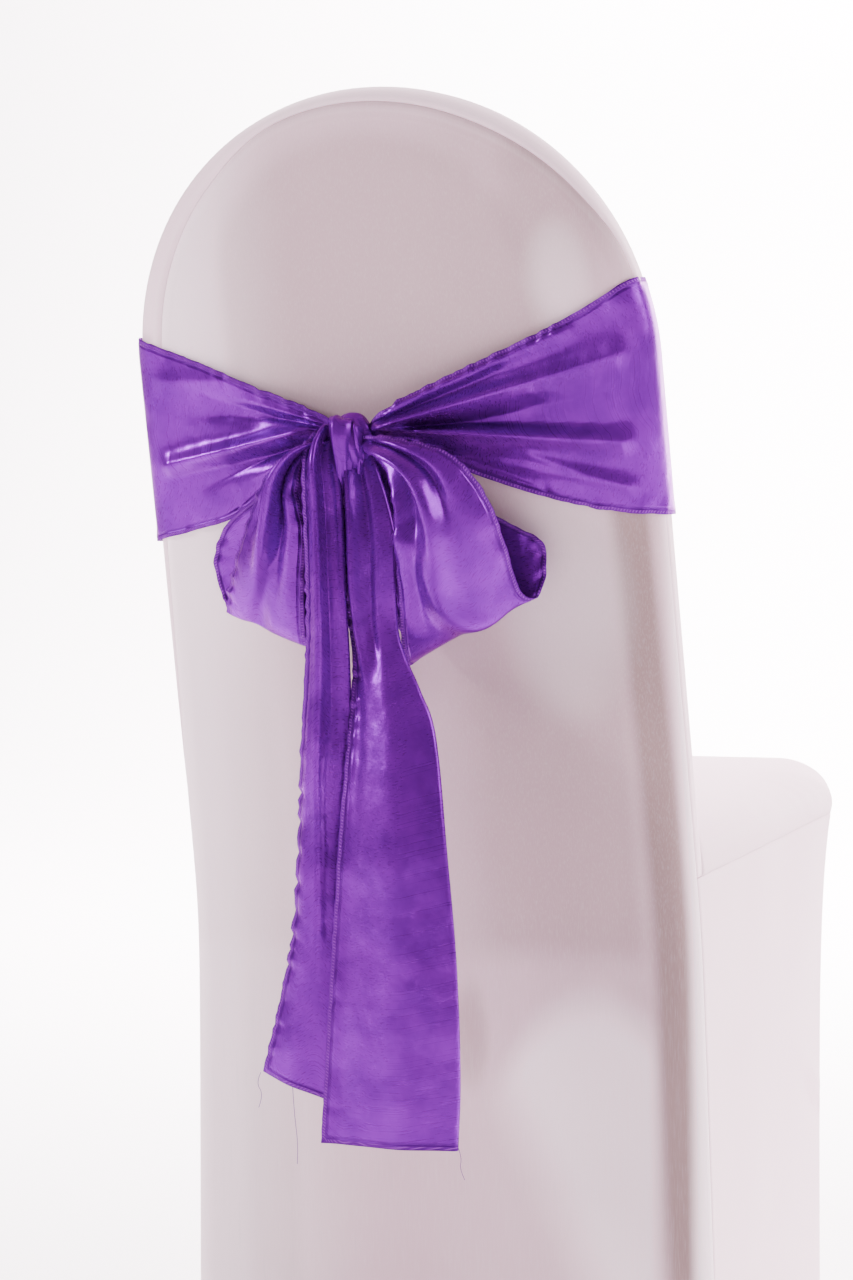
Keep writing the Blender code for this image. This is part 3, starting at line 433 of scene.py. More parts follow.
Seam = namedtuple("Seam", "turn wrap")
EDGE_SEAM = (
    Seam(-2.00, 0.0270), Seam(-1.47, 0.0250), Seam(-1.30, 0.0140), Seam(-1.16, 0.0095),
    Seam(-0.95, -0.0030), Seam(-0.50, 0.0010), Seam(-0.23, 0.0080), Seam(0.23, 0.0060),
    Seam(0.58, 0.0120), Seam(0.75, 0.0200), Seam(1.20, 0.0250), Seam(1.47, 0.0250),
    Seam(2.00, 0.0270),
)


def rear_y(z):
    """Outside of the back panel at height z."""
    rise = z - KNEE_Z
    bend = 0.5 * (rise + np.sqrt(rise * rise + KNEE_SOFT ** 2))
    floor_bend = 0.5 * (math.sqrt(KNEE_Z ** 2 + KNEE_SOFT ** 2) - KNEE_Z)
    return REAR_Y - LOW_SLOPE * z - (HIGH_SLOPE - LOW_SLOPE) * (bend - floor_bend)


def half_width(z):
    return np.interp(z, (0.0, 0.45, SPRING_Z), (FLOOR_HALF, SEAT_LEVEL_HALF, SPRING_HALF))


def outline(turn):
    """Edge seen from behind: -2 left foot, -1 to 1 over the dome, 2 right foot."""
    if abs(turn) > 1.0:
        z = SPRING_Z * (2.0 - abs(turn))
        return np.array([math.copysign(half_width(z), turn), z])
    angle = turn * math.pi / 2
    share = 2.0 / DOME_POWER
    x = math.copysign(SPRING_HALF * abs(math.sin(angle)) ** share, turn)
    z = SPRING_Z + DOME_RISE * max(math.cos(angle), 0.0) ** share
    return np.array([x + DOME_LEAN * math.cos(angle), z])


def outline_normal(turn):
    ahead = outline(min(turn + 0.004, 2.0)) - outline(max(turn - 0.004, -2.0))
    return unit(np.array([-ahead[1], ahead[0]]))


def side_turn(z, side):
    return side * (2.0 - z / SPRING_Z)


def rim_section(wrap):
    """Inset from the outline and depth from the rear face, wrap metres round the rim."""
    quarter = RIM_RADIUS * math.pi / 2
    flat = BACK_DEPTH - 2 * RIM_RADIUS
    if wrap <= 0.0:
        return RIM_RADIUS - wrap, 0.0
    if wrap <= quarter:
        angle = wrap / RIM_RADIUS
        return RIM_RADIUS * (1 - math.sin(angle)), RIM_RADIUS * (1 - math.cos(angle))
    if wrap <= quarter + flat:
        return 0.0, RIM_RADIUS + wrap - quarter
    if wrap <= 2 * quarter + flat:
        angle = (wrap - quarter - flat) / RIM_RADIUS
        return RIM_RADIUS * (1 - math.cos(angle)), BACK_DEPTH - RIM_RADIUS + RIM_RADIUS * math.sin(angle)
    return RIM_RADIUS + wrap - 2 * quarter - flat, BACK_DEPTH


def front_wrap(inset):
    """Wrap at which the rim's front corner has come inset metres in from the outline."""
    start = RIM_RADIUS * math.pi / 2 + BACK_DEPTH - 2 * RIM_RADIUS
    if inset < RIM_RADIUS:
        return start + RIM_RADIUS * math.acos(1 - inset / RIM_RADIUS)
    return start + RIM_RADIUS * math.pi / 2 + inset - RIM_RADIUS


def rim_point(turn, wrap):
    inset, depth = rim_section(wrap)
    x, z = outline(turn) - outline_normal(turn) * inset
    z = max(z, 0.0)
    return np.array([x, rear_y(z) + depth, z])


def face_point(share, z, depth):
    x = share * (half_width(min(z, SPRING_Z)) - FACE_INSET)
    x += DOME_LEAN * math.sqrt(max(1 - share ** 2, 0.0)) * np.clip((z - SPRING_Z) / DOME_RISE, 0, 1)
    return np.array([x, rear_y(z) + depth, z])


def seam_wrap(turn):
    return float(steady(turn, column(EDGE_SEAM, "turn"), column(EDGE_SEAM, "wrap")))


print("the dome's top is at", outline(0.0)[1])

# %% [markdown]
# ## The seat and the skirt
# The seat is a crowned pad with a rolled edge that stands out a little past its welt. The skirt
# hangs from the welt as one strip: left side, front with a high arch, right side. Under the seat
# it draws in to the legs. `skirt_plan` counts places from 0 to 5 along that strip.

# %% The seat's and the skirt's measurements
SEAT_Z, SEAT_CROWN, SEAT_HALF, SEAT_FRONT_Y = 0.430, 0.048, 0.2127, 0.3148
SEAT_CORNER, SEAT_ROLL, SEAT_BULGE = 0.030, 0.045, 0.008
LEG_INSET, LEG_INSET_DROP = 0.012, 0.070
ARCH_HALF, ARCH_Z = 0.147, 0.248
FOOT_NOTCH_HALF, FOOT_NOTCH_Z, FOOT_FROM_EDGE = 0.017, 0.016, 0.040
POCKET_HALF = 0.015
JOIN_CLEAR = 0.0006


def skirt_plan(place, z):
    draw_in = LEG_INSET * (1 - math.exp(-max(SEAT_Z - z, 0.0) / LEG_INSET_DROP))
    front = SEAT_FRONT_Y - draw_in
    half = SEAT_HALF - 0.7 * draw_in
    mirror = -1.0
    if place > 2.5:
        place = 5.0 - place
        mirror = 1.0
    if place <= 1.0:
        start = np.array([half_width(z), rear_y(z) + RIM_RADIUS])
        end = np.array([half, front - SEAT_CORNER])
        x, y = start + (end - start) * place
    elif place <= 2.0:
        angle = (place - 1.0) * math.pi / 2
        x = half - SEAT_CORNER * (1 - math.cos(angle))
        y = front - SEAT_CORNER * (1 - math.sin(angle))
    else:
        x = (half - SEAT_CORNER) * (1 - 2 * (place - 2.0))
        y = front
    return np.array([mirror * x, y])


def side_length(z=0.0):
    return float(np.linalg.norm(skirt_plan(1.0, z) - skirt_plan(0.0, z)))


def foot_places():
    return FOOT_FROM_EDGE / side_length(), 1.0 - 0.010 / side_length()


def seat_rear_roll():
    return half_width(SEAT_Z) - (SEAT_HALF - SEAT_ROLL)


def seat_profile(inset):
    return SEAT_Z + SEAT_CROWN * float(quarter_round(inset / seat_rear_roll()))


print("the skirt's side is", round(side_length(), 3), "m long at the floor")

# %% [markdown]
# ## Panels of the back
# Each panel is a strip that follows the rim, joined to a flat face inside it. Building both from
# the same list of places round the outline keeps them one seamless mesh. The last 2 mm next to
# the seam roll inward, as a sewn edge does.

# %% Back and front panel
DOME_COLUMNS = 81
PANEL_ROWS = 92


def seam_tuck(edge):
    """How far cloth rolls in next to a seam."""
    return 0.0004 * (1 - ease(edge / 0.0022)) - 0.0002 * math.exp(-((edge - 0.0045) / 0.002) ** 2)


def rim_vertex(turn, wrap, edge):
    step = 5e-4
    inside = min(max(turn, -1.998), 1.998)
    a = rim_point(inside + step, wrap) - rim_point(inside - step, wrap)
    b = rim_point(inside, wrap + step) - rim_point(inside, wrap - step)
    outward = unit(np.cross(a, b))
    if outward[1] * (rim_section(wrap)[1] - BACK_DEPTH / 2) < 0 and abs(outward[1]) > 0.3:
        outward = -outward
    return rim_point(turn, wrap) - outward * seam_tuck(edge)


def faced_panel(name, wraps_at, feet_at, depth, flip, relief, material):
    lowest = feet_at(0.0)
    side_z = np.linspace(0.0, 1.0, PANEL_ROWS)
    loop = [(-1, share) for share in side_z]
    loop += [(0, turn) for turn in np.linspace(-1, 1, DOME_COLUMNS)[1:-1]]
    loop += [(1, share) for share in side_z[::-1]]
    steps = len(wraps_at(0.0))
    points, edges = [], []
    strip = []
    for step in range(steps):
        line = []
        for side, value in loop:
            turn = value
            if side:
                guess = side_turn(lowest + value * (SPRING_Z - lowest), side)
                inset, rim_depth = rim_section(wraps_at(guess)[step])
                foot = feet_at(inset if rim_depth > BACK_DEPTH / 2 else 0.0)
                turn = side_turn(foot + value * (SPRING_Z - foot), side)
            wraps = wraps_at(turn)
            edge = abs(wraps[step] - wraps[0])
            points.append(rim_vertex(turn, wraps[step], edge))
            edges.append(edge)
            line.append(len(points) - 1)
        strip.append(line)
    faces = []
    for outer, inner in zip(strip, strip[1:]):
        for k in range(len(loop) - 1):
            quad = (outer[k], outer[k + 1], inner[k + 1], inner[k])
            faces.append(quad[::-1] if flip else quad)
    ring = strip[-1]
    rows = (len(loop) - (DOME_COLUMNS - 2)) // 2
    left, top, right = ring[:rows], ring[rows - 1:-rows + 1], ring[-rows:][::-1]
    turns = np.linspace(-1, 1, DOME_COLUMNS)
    face_rows = []
    for j in range(rows):
        line = [left[j]]
        for k in range(1, DOME_COLUMNS - 1):
            share = math.sin(turns[k] * math.pi / 2)
            peak = points[top[k]]
            if j == rows - 1:
                line.append(top[k])
                continue
            foot = feet_at(half_width(SEAT_Z) - abs(share * (half_width(SEAT_Z) - FACE_INSET)))
            rise = (points[left[j]][2] - points[left[0]][2]) / (points[left[-1]][2] - points[left[0]][2])
            z = foot + rise * (peak[2] - foot)
            point = face_point(share, z, depth)
            pull = np.clip((z - SPRING_Z) / max(peak[2] - SPRING_Z, 1e-6), 0.0, 1.0)
            point[0] += (peak[0] - face_point(share, peak[2], depth)[0]) * pull
            points.append(point)
            edges.append(0.05)
            line.append(len(points) - 1)
        line.append(right[j])
        face_rows.append(line)
    for low, high in zip(face_rows, face_rows[1:]):
        for k in range(DOME_COLUMNS - 1):
            quad = (low[k], low[k + 1], high[k + 1], high[k])
            faces.append(quad if flip else quad[::-1])
    points = np.array(points)
    inner = np.array([edge > 0.012 for edge in edges])
    points[inner, 1] += relief(points[inner, 0], points[inner, 2])
    return new_sheet(name, points, faces, STRETCH_SHEET, {"edge": edges}, material)


NEAR_SEAM = (0.0, 0.0006, 0.0013, 0.0022, 0.0035, 0.0060)
SEAT_INSETS = (0.02, 0.06, 0.12, 0.2, 0.3, 0.42, 0.55, 0.7)


def chair_relief(x, z):
    """The chair inside lifts the tight cloth a little along its legs and its seat's edge."""
    leg = np.exp(-((np.abs(x) - 0.176) / 0.012) ** 2) * (1 - ease((z - 0.50) / 0.15))
    seat = np.exp(-((z - 0.372) / 0.016) ** 2) * ease((0.172 - np.abs(x)) / 0.03)
    hollow = np.exp(-((x / 0.13) ** 2 + ((z - 0.845) / 0.12) ** 2) ** 2)
    return 0.0012 * hollow - 0.00072 * leg - 0.0006 * seat


def back_wraps(turn):
    """Wraps from the seam inward over the rear face: close together at the seam, then even."""
    seam = seam_wrap(turn) - SEAM_GAP / 2
    near = [seam - step for step in NEAR_SEAM]
    return near + list(np.linspace(near[-1], RIM_RADIUS - FACE_INSET, 12)[1:])


def front_wraps(turn):
    seam = seam_wrap(turn) + SEAM_GAP / 2
    corner = front_wrap(0.0)
    near = [seam + step for step in NEAR_SEAM]
    insets = [seat_rear_roll() * share for share in SEAT_INSETS] + [FACE_INSET]
    return near + [0.5 * (near[-1] + corner), corner] + [front_wrap(inset) for inset in insets]


def front_feet(inset):
    return max(seat_profile(inset) - 0.0015, SEAT_Z + 0.0008)


back = faced_panel("back_panel_cloth", back_wraps, lambda inset: 0.0, 0.0, True, chair_relief, REAR_CLOTH)
front = faced_panel("front_panel_cloth", front_wraps, front_feet, BACK_DEPTH, False,
                    lambda x, z: 0.0 * x, COVER_CLOTH)

# %% [markdown]
# ## The skirt's grid
# Every column of the skirt runs from its lower edge, which rises over the arch and the small
# notches at the feet, up to the welt. Faint slanting creases by the front legs show where the
# knit is pulled between the leg and the seat.

# %% Skirt
def skirt_foot_z(place):
    if place > 2.5:
        place = 5.0 - place
    if place >= 2.0:
        x = abs(skirt_plan(place, 0.0)[0])
        return ARCH_Z * math.sqrt(max(1 - (x / ARCH_HALF) ** 2, 0.0)) if x < ARCH_HALF else 0.0
    for middle in foot_places():
        away = abs(min(place, 1.0) - middle) * side_length()
        if place <= 1.0 and away < FOOT_NOTCH_HALF:
            return FOOT_NOTCH_Z * math.sqrt(1 - (away / FOOT_NOTCH_HALF) ** 2)
    return 0.0


def seam_place(z, side):
    """Place along the side at which the skirt's rear edge meets the back panel's seam."""
    depth = rim_section(seam_wrap(side_turn(z, side)) + SEAM_GAP / 2)[1]
    return (depth - RIM_RADIUS) / side_length(z)


def skirt_places():
    reach = FOOT_NOTCH_HALF / side_length()
    rear, front_foot = foot_places()
    near = [0.0] + [step / side_length() for step in (0.0008, 0.0018, 0.003, 0.005, 0.009)]
    side = set(near) | set(np.linspace(0.03, 0.97, 40))
    for middle in (rear, front_foot):
        for angle in np.radians(np.linspace(-90, 90, 17)):
            if 0.0 < middle + reach * math.sin(angle) < 0.999:
                side.add(middle + reach * math.sin(angle))
    half = (SEAT_HALF - 0.7 * LEG_INSET) - SEAT_CORNER
    arch = [2.5 - 0.5 * ARCH_HALF * math.sin(a) / half for a in np.radians(np.linspace(90, 0, 26))]
    left = sorted(side) + list(np.linspace(1.0, 2.0, 13)) + [2.04] + arch
    return left + [5.0 - place for place in left[-2::-1]]


Crease = namedtuple("Crease", "place z slant lift")
SKIRT_CREASES = (
    Crease(4.10, 0.215, 0.5, 0.0022), Crease(4.06, 0.185, 0.5, -0.0020), Crease(0.88, 0.250, -0.4, 0.0014),
    Crease(4.30, 0.330, 0.25, 0.0010), Crease(0.70, 0.120, -0.2, 0.0010), Crease(4.62, 0.145, 0.2, 0.0009),
)
CREASE_WIDE, CREASE_LONG = 0.008, 0.045


def skirt_crease(place, z):
    """Soft slanting creases: + stands out. The right front leg has the clearest one."""
    total = 0.0
    for crease in SKIRT_CREASES:
        run = (place - crease.place) * side_length()
        across = (z - crease.z) - crease.slant * run
        total += crease.lift * math.exp(-(across / CREASE_WIDE) ** 2 - (run / CREASE_LONG) ** 2)
    return total


def make_skirt():
    places = skirt_places()
    shares = np.concatenate([np.linspace(0, 0.985, 58), [0.992, 0.996, 0.999, 1.0]])
    grid = np.zeros((len(shares), len(places), 3))
    edge = np.zeros(grid.shape[:2])
    for i, share in enumerate(shares):
        for j, place in enumerate(places):
            foot = skirt_foot_z(place)
            z = foot + share * (SEAT_Z - SEAM_GAP - foot)
            start, end = seam_place(z, -1), 5.0 - seam_place(z, 1)
            fade = max(1.0 - place / 0.08, 0.0)
            other = max(1.0 - (5.0 - place) / 0.08, 0.0)
            at = place + start * fade + (end - 5.0) * other
            x, y = skirt_plan(at, z)
            ahead = skirt_plan(min(at + 0.01, 4.999), z) - skirt_plan(max(at - 0.01, 0.001), z)
            outward = unit(np.array([-ahead[1], ahead[0]]))
            side = min(at - start, end - at) * side_length()
            edge[i, j] = min(SEAT_Z - z, side if min(place, 5.0 - place) < 1 else 1.0, 0.05)
            ripple = 0.0004 * wander(at * 0.45, 0.013, 3) * (1 - ease((z - foot) / 0.012))
            push = skirt_crease(place, z) - seam_tuck(edge[i, j]) + float(ripple)
            grid[i, j] = (x + outward[0] * push, y + outward[1] * push, z)
    faces = grid_faces(len(shares), len(places), flip=True)
    return new_sheet("skirt_cloth", grid.reshape(-1, 3), faces, STRETCH_SHEET,
                     {"edge": edge.ravel()}, COVER_CLOTH)


skirt = make_skirt()

# %% [markdown]
# ## The seat's crown
# Rings of points run from the welt up over the rolled edge, and a plain grid closes the top.
# The crown is a little fuller in the middle, and the welt pulls small dimples into the roll.

# %% Seat
ROLL_STEPS = (0.0, 0.004, 0.010, 0.022, 0.04, 0.07, 0.11, 0.16, 0.22, 0.3, 0.4, 0.5, 0.62, 0.74, 0.87, 1.0)


def make_seat():
    rear = rear_y(SEAT_Z) + BACK_DEPTH + JOIN_CLEAR
    start = (rear - RIM_RADIUS - skirt_plan(0.0, SEAT_Z)[1]) / side_length(SEAT_Z)
    left = [start] + [start + (1.0 - start) * t for t in np.linspace(0, 1, 42)[1:]]
    left += list(np.linspace(1.0, 2.0, 15)[1:]) + list(np.linspace(2.0, 2.5, 20)[1:])
    places = left + [5.0 - place for place in left[-2::-1]]
    middle = sum(1 for place in places if place < 1.5)
    across = len(places) - 2 * middle
    half, front_line = SEAT_HALF - SEAT_ROLL, SEAT_FRONT_Y - SEAT_ROLL
    shares = [place / 1.5 for place in places[:middle]] + [1.0]
    shares = [(s - shares[0]) / (1.0 - shares[0]) for s in shares]

    def inner_point(index):
        if index < middle:
            return np.array([-half, rear + (front_line - rear) * shares[index] * 0.97])
        if index >= middle + across:
            x, y = inner_point(len(places) - 1 - index)
            return np.array([-x, y])
        share = (index - middle + 0.5) / across
        return np.array([-half * math.cos(share * math.pi), front_line])

    def edge_point(index, step):
        plan = skirt_plan(places[index], SEAT_Z)
        x, y = plan + (inner_point(index) - plan) * step
        height = float(quarter_round(step))
        z = SEAT_Z + SEAT_CROWN * height
        ends = min(index, len(places) - 1 - index)
        swell = ease(ends / 24)
        dimple = 0.0010 * float(wander(places[index] * 0.45, 0.06, 8)) * 4 * height * (1 - height)
        outward = unit(plan - inner_point(index))
        push = (SEAT_BULGE * 4 * height * (1 - height) + dimple) * swell
        push -= seam_tuck(step * SEAT_ROLL) if step < 0.2 else 0.0
        x, y = np.array([x, y]) + outward * push
        if ends == 0:
            inset = max(half_width(SEAT_Z) - abs(x), 0.0)
            x = math.copysign(half_width(z) - inset, x)
            y = rear_y(z) + rim_section(front_wrap(inset))[1] + JOIN_CLEAR
        else:
            y += (rear_y(z) - rear_y(SEAT_Z)) * max(0.0, 1.0 - (y - rear) / 0.12)
        return np.array([x, y, z])

    points, edges, strip = [], [], []
    for step in ROLL_STEPS:
        line = []
        for index in range(len(places)):
            points.append(edge_point(index, step))
            ends = min(index, len(places) - 1 - index)
            edges.append(min(step * SEAT_ROLL * 1.3, ends * 0.006 if ends < 4 else 0.05))
            line.append(len(points) - 1)
        strip.append(line)
    faces = []
    for low, high in zip(strip, strip[1:]):
        for k in range(len(places) - 1):
            faces.append((low[k], high[k], high[k + 1], low[k + 1]))
    ring = strip[-1]
    left, top, right = ring[:middle], ring[middle:middle + across], ring[middle + across:][::-1]
    lines = []
    for j in range(middle):
        a, b = points[left[j]], points[right[j]]
        line = [left[j]]
        for k in range(across):
            share = (points[top[k]][0] + half) / (2 * half)
            point = a + (b - a) * share
            inside = math.sin(math.pi * share) * math.sin(math.pi * min(j / (middle - 1) + 0.02, 1))
            point[2] -= 0.0012 * inside
            points.append(point)
            edges.append(0.05 if j else 0.001)
            line.append(len(points) - 1)
        lines.append(line + [right[j]])
    for low, high in zip(lines, lines[1:]):
        for k in range(across + 1):
            faces.append((low[k], low[k + 1], high[k + 1], high[k]))
    last = lines[-1]
    faces.append((last[0], last[1], top[0]))
    for k in range(across - 1):
        faces.append((last[k + 1], last[k + 2], top[k + 1], top[k]))
    faces.append((last[-2], last[-1], top[-1]))
    return new_sheet("seat_panel_cloth", points, faces, STRETCH_SHEET, {"edge": edges}, COVER_CLOTH)


seat = make_seat()

# %% [markdown]
# ## The leg pockets
# At each leg the cover ends in a little cup of tougher cloth, its top rim darkened with painted shade.
# It is a turned shape, so its outline is spun round with a slight waver that keeps it hand-sewn.

# %% Pockets
CUP_AROUND = 48
# Share of the cup's radius, and height: from the middle of its bottom, up and back down inside
CUP_OUTLINE = (
    (0.0, 0.0003), (0.6, 0.0003), (0.9, 0.0008), (0.98, 0.0028), (1.0, 0.007), (0.985, 0.012),
    (1.0, 0.0165), (1.02, 0.018), (1.0, 0.0196), (0.94, 0.0198), (0.92, 0.018), (0.91, 0.012),
    (0.90, 0.006), (0.86, 0.0026), (0.6, 0.0018), (0.0, 0.0018),
)


def make_pocket(name, place):
    x, y = skirt_plan(place, 0.0)
    x -= math.copysign(POCKET_HALF + 0.0030, x)
    points, faces = [], []
    for radius, z in CUP_OUTLINE:
        for k in range(CUP_AROUND):
            angle = 2 * math.pi * k / CUP_AROUND
            waver = 1 + 0.012 * math.sin(3 * angle + place) + 0.008 * math.sin(7 * angle)
            reach = (POCKET_HALF - 0.0004) * radius * (waver if radius < 1.01 else 1.0)
            points.append((x + reach * math.cos(angle), y + reach * math.sin(angle), z))
    for j in range(len(CUP_OUTLINE) - 1):
        low, high = j * CUP_AROUND, (j + 1) * CUP_AROUND
        for k in range(CUP_AROUND):
            following = (k + 1) % CUP_AROUND
            faces.append((low + following, high + following, high + k, low + k))
    mesh = bpy.data.meshes.new(name)
    mesh.from_pydata(points, [], faces)
    mesh.polygons.foreach_set("use_smooth", [True] * len(mesh.polygons))
    cup = bpy.data.objects.new(name, mesh)
    bpy.context.scene.collection.objects.link(cup)
    mesh.materials.append(POCKET)
    return cup


REAR_FOOT, FRONT_FOOT = foot_places()
POCKETS = {
    "rear_left": REAR_FOOT, "front_left": FRONT_FOOT,
    "front_right": 5.0 - FRONT_FOOT, "rear_right": 5.0 - REAR_FOOT,
}
pockets = {name: make_pocket("leg_pocket_" + name, place) for name, place in POCKETS.items()}
print(len(pockets), "leg pockets")

# %% [markdown]
# ## The sash: a table for each part
# The sash is one strip, 178 mm by 2.74 m, but a bow is easiest to make as the parts that a person
# sees: the band, two loops, two tails and the knot. A loop is a list of cross-cuts that
# starts at the knot, runs down its front layer, turns, and comes home up its back layer.

# %% The sash's measurements
BAND_CLEAR, KNOT_X, KNOT_Z, KNOT_LIFT = 0.0025, -0.022, 0.755, 0.024
FRONT_TOP_Z, FRONT_FOOT_Z = 0.846, 0.684
TAIL_FOLD_RADIUS, LEFT_HEM_DROP, LEFT_TAIL_SLANT = 0.003, 0.030, 0.006
Row = namedtuple("Row", "at top foot lift")
Fold = namedtuple("Fold", "x0 z0 x1 z1 wide0 wide1 high0 high1")
Cut = namedtuple("Cut", "left_x left_z left_lift mid_lift right_x right_z right_lift")
Hang = namedtuple("Hang", "z left right out bow back")
Pleat = namedtuple("Pleat", "start end from_s to_s wide high")

RIGHT_ARM = (
    Row(-0.016, 0.764, 0.744, 0.018), Row(0.010, 0.782, 0.750, 0.018),
    Row(0.040, 0.7965, 0.7395, 0.014), Row(0.075, 0.812, 0.7260, 0.009),
    Row(0.112, 0.828, 0.7140, 0.005), Row(0.166, 0.853, 0.7030, 0.0025),
    Row(0.196, 0.868, 0.7008, 0.0025),
)
LEFT_ARM = (
    Row(-0.196, 0.833, 0.6814, 0.0025), Row(-0.160, 0.820, 0.6905, 0.0025),
    Row(-0.127, 0.807, 0.7001, 0.005), Row(-0.101, 0.7955, 0.7170, 0.007),
    Row(-0.071, 0.7846, 0.7350, 0.012), Row(-0.042, 0.772, 0.744, 0.018),
    Row(-0.030, 0.765, 0.748, 0.018),
)
# Gathers that run out of the knot into the arms: + stands up, - sinks in
ARM_FOLDS = (
    Fold(0.005, 0.777, 0.130, 0.828, 0.004, 0.007, 0.004, 0.003),
    Fold(0.011, 0.768, 0.180, 0.815, 0.005, 0.013, 0.010, 0.004),
    Fold(0.020, 0.765, 0.160, 0.775, 0.005, 0.012, -0.008, -0.003),
    Fold(0.013, 0.763, 0.190, 0.752, 0.004, 0.010, 0.008, 0.005),
    Fold(0.040, 0.749, 0.130, 0.720, 0.006, 0.012, -0.006, -0.002),
    Fold(-0.060, 0.768, -0.175, 0.788, 0.005, 0.008, -0.004, -0.004),
    Fold(-0.066, 0.762, -0.185, 0.736, 0.005, 0.010, 0.008, 0.005),
    Fold(-0.070, 0.752, -0.178, 0.722, 0.005, 0.008, -0.004, -0.003),
)
# Finer creases between them
FINE_FOLDS = (
    Fold(0.000, 0.772, 0.070, 0.800, 0.0018, 0.004, 0.0022, 0.0004),
    Fold(0.012, 0.773, 0.085, 0.803, 0.0020, 0.004, -0.0026, -0.0006),
    Fold(0.022, 0.770, 0.120, 0.790, 0.0020, 0.005, 0.0020, 0.0006),
    Fold(0.030, 0.762, 0.110, 0.762, 0.0022, 0.005, 0.0022, 0.0005),
    Fold(0.018, 0.757, 0.090, 0.742, 0.0020, 0.004, -0.0022, -0.0004),
    Fold(0.030, 0.748, 0.170, 0.722, 0.0025, 0.007, 0.0022, 0.0016),
    Fold(0.110, 0.742, 0.190, 0.716, 0.0040, 0.008, 0.0014, 0.0018),
    Fold(-0.052, 0.770, -0.110, 0.786, 0.0018, 0.004, 0.0024, 0.0005),
    Fold(-0.056, 0.764, -0.100, 0.772, 0.0018, 0.004, 0.0026, 0.0004),
    Fold(-0.060, 0.757, -0.120, 0.742, 0.0020, 0.005, -0.0024, -0.0006),
    Fold(-0.062, 0.750, -0.105, 0.730, 0.0020, 0.004, 0.0020, 0.0004),
    Fold(-0.120, 0.800, -0.190, 0.800, 0.0060, 0.010, 0.0012, 0.0014),
)
RIGHT_LOOP = (
    Cut(-0.012, 0.748, 0.030, 0.032, -0.014, 0.760, 0.032),
    Cut(0.006, 0.738, 0.036, 0.052, 0.020, 0.757, 0.044),
    Cut(0.0130, 0.716, 0.049, 0.062, 0.060, 0.7450, 0.050),
    Cut(0.0140, 0.690, 0.055, 0.066, 0.082, 0.7150, 0.047),
    Cut(0.0125, 0.655, 0.056, 0.064, 0.0915, 0.680, 0.043),
    Cut(0.0095, 0.622, 0.052, 0.053, 0.0970, 0.648, 0.036),
    Cut(0.0075, 0.597, 0.043, 0.043, 0.1060, 0.642, 0.028),
    Cut(0.0060, 0.592, 0.028, 0.029, 0.1120, 0.655, 0.021),
    Cut(0.0030, 0.600, 0.020, 0.021, 0.1130, 0.672, 0.017),
    Cut(-0.0070, 0.630, 0.015, 0.017, 0.1090, 0.684, 0.015),
    Cut(-0.0120, 0.660, 0.015, 0.018, 0.0850, 0.697, 0.017),
    Cut(-0.0060, 0.695, 0.018, 0.022, 0.0560, 0.717, 0.020),
    Cut(-0.0120, 0.735, 0.021, 0.024, 0.0150, 0.742, 0.022),
    Cut(-0.0220, 0.752, 0.022, 0.023, -0.0120, 0.755, 0.023),
)
LEFT_LOOP = (
    Cut(-0.0330, 0.760, 0.030, 0.032, -0.0300, 0.750, 0.030),
    Cut(-0.0600, 0.752, 0.040, 0.045, -0.0520, 0.742, 0.040),
    Cut(-0.0860, 0.730, 0.042, 0.055, -0.0590, 0.720, 0.048),
    Cut(-0.1030, 0.700, 0.040, 0.058, -0.0560, 0.690, 0.050),
    Cut(-0.1190, 0.668, 0.036, 0.055, -0.0610, 0.656, 0.050),
    Cut(-0.1300, 0.643, 0.031, 0.046, -0.0660, 0.622, 0.046),
    Cut(-0.1340, 0.630, 0.026, 0.036, -0.0680, 0.607, 0.040),
    Cut(-0.1350, 0.632, 0.021, 0.028, -0.0690, 0.604, 0.032),
    Cut(-0.1400, 0.645, 0.017, 0.021, -0.0690, 0.610, 0.024),
    Cut(-0.1435, 0.668, 0.015, 0.018, -0.0660, 0.640, 0.018),
    Cut(-0.1310, 0.694, 0.016, 0.018, -0.0600, 0.675, 0.017),
    Cut(-0.1000, 0.716, 0.021, 0.023, -0.0520, 0.710, 0.020),
    Cut(-0.0600, 0.744, 0.023, 0.025, -0.0400, 0.735, 0.022),
    Cut(-0.0330, 0.757, 0.023, 0.024, -0.0280, 0.750, 0.023),
)
LEFT_TAIL = (
    Hang(0.764, -0.0450, -0.0260, -0.0060, 0.001, 0.004),
    Hang(0.758, -0.0510, -0.0290, 0.0010, 0.003, 0.006),
    Hang(0.742, -0.0545, -0.0300, 0.0060, 0.006, 0.012),
    Hang(0.713, -0.0550, -0.0275, 0.0060, 0.006, 0.018),
    Hang(0.640, -0.0535, -0.0255, 0.004, 0.005, 0.020),
    Hang(0.580, -0.0570, -0.0245, 0.001, 0.005, 0.024),
    Hang(0.500, -0.0625, -0.0235, -0.001, 0.005, 0.030),
    Hang(0.412, -0.0680, -0.0210, -0.002, 0.004, 0.038),
    Hang(0.350, -0.0800, -0.0150, -0.003, 0.004, 0.044),
    Hang(0.296, -0.0945, -0.0090, -0.004, 0.003, 0.050),
)
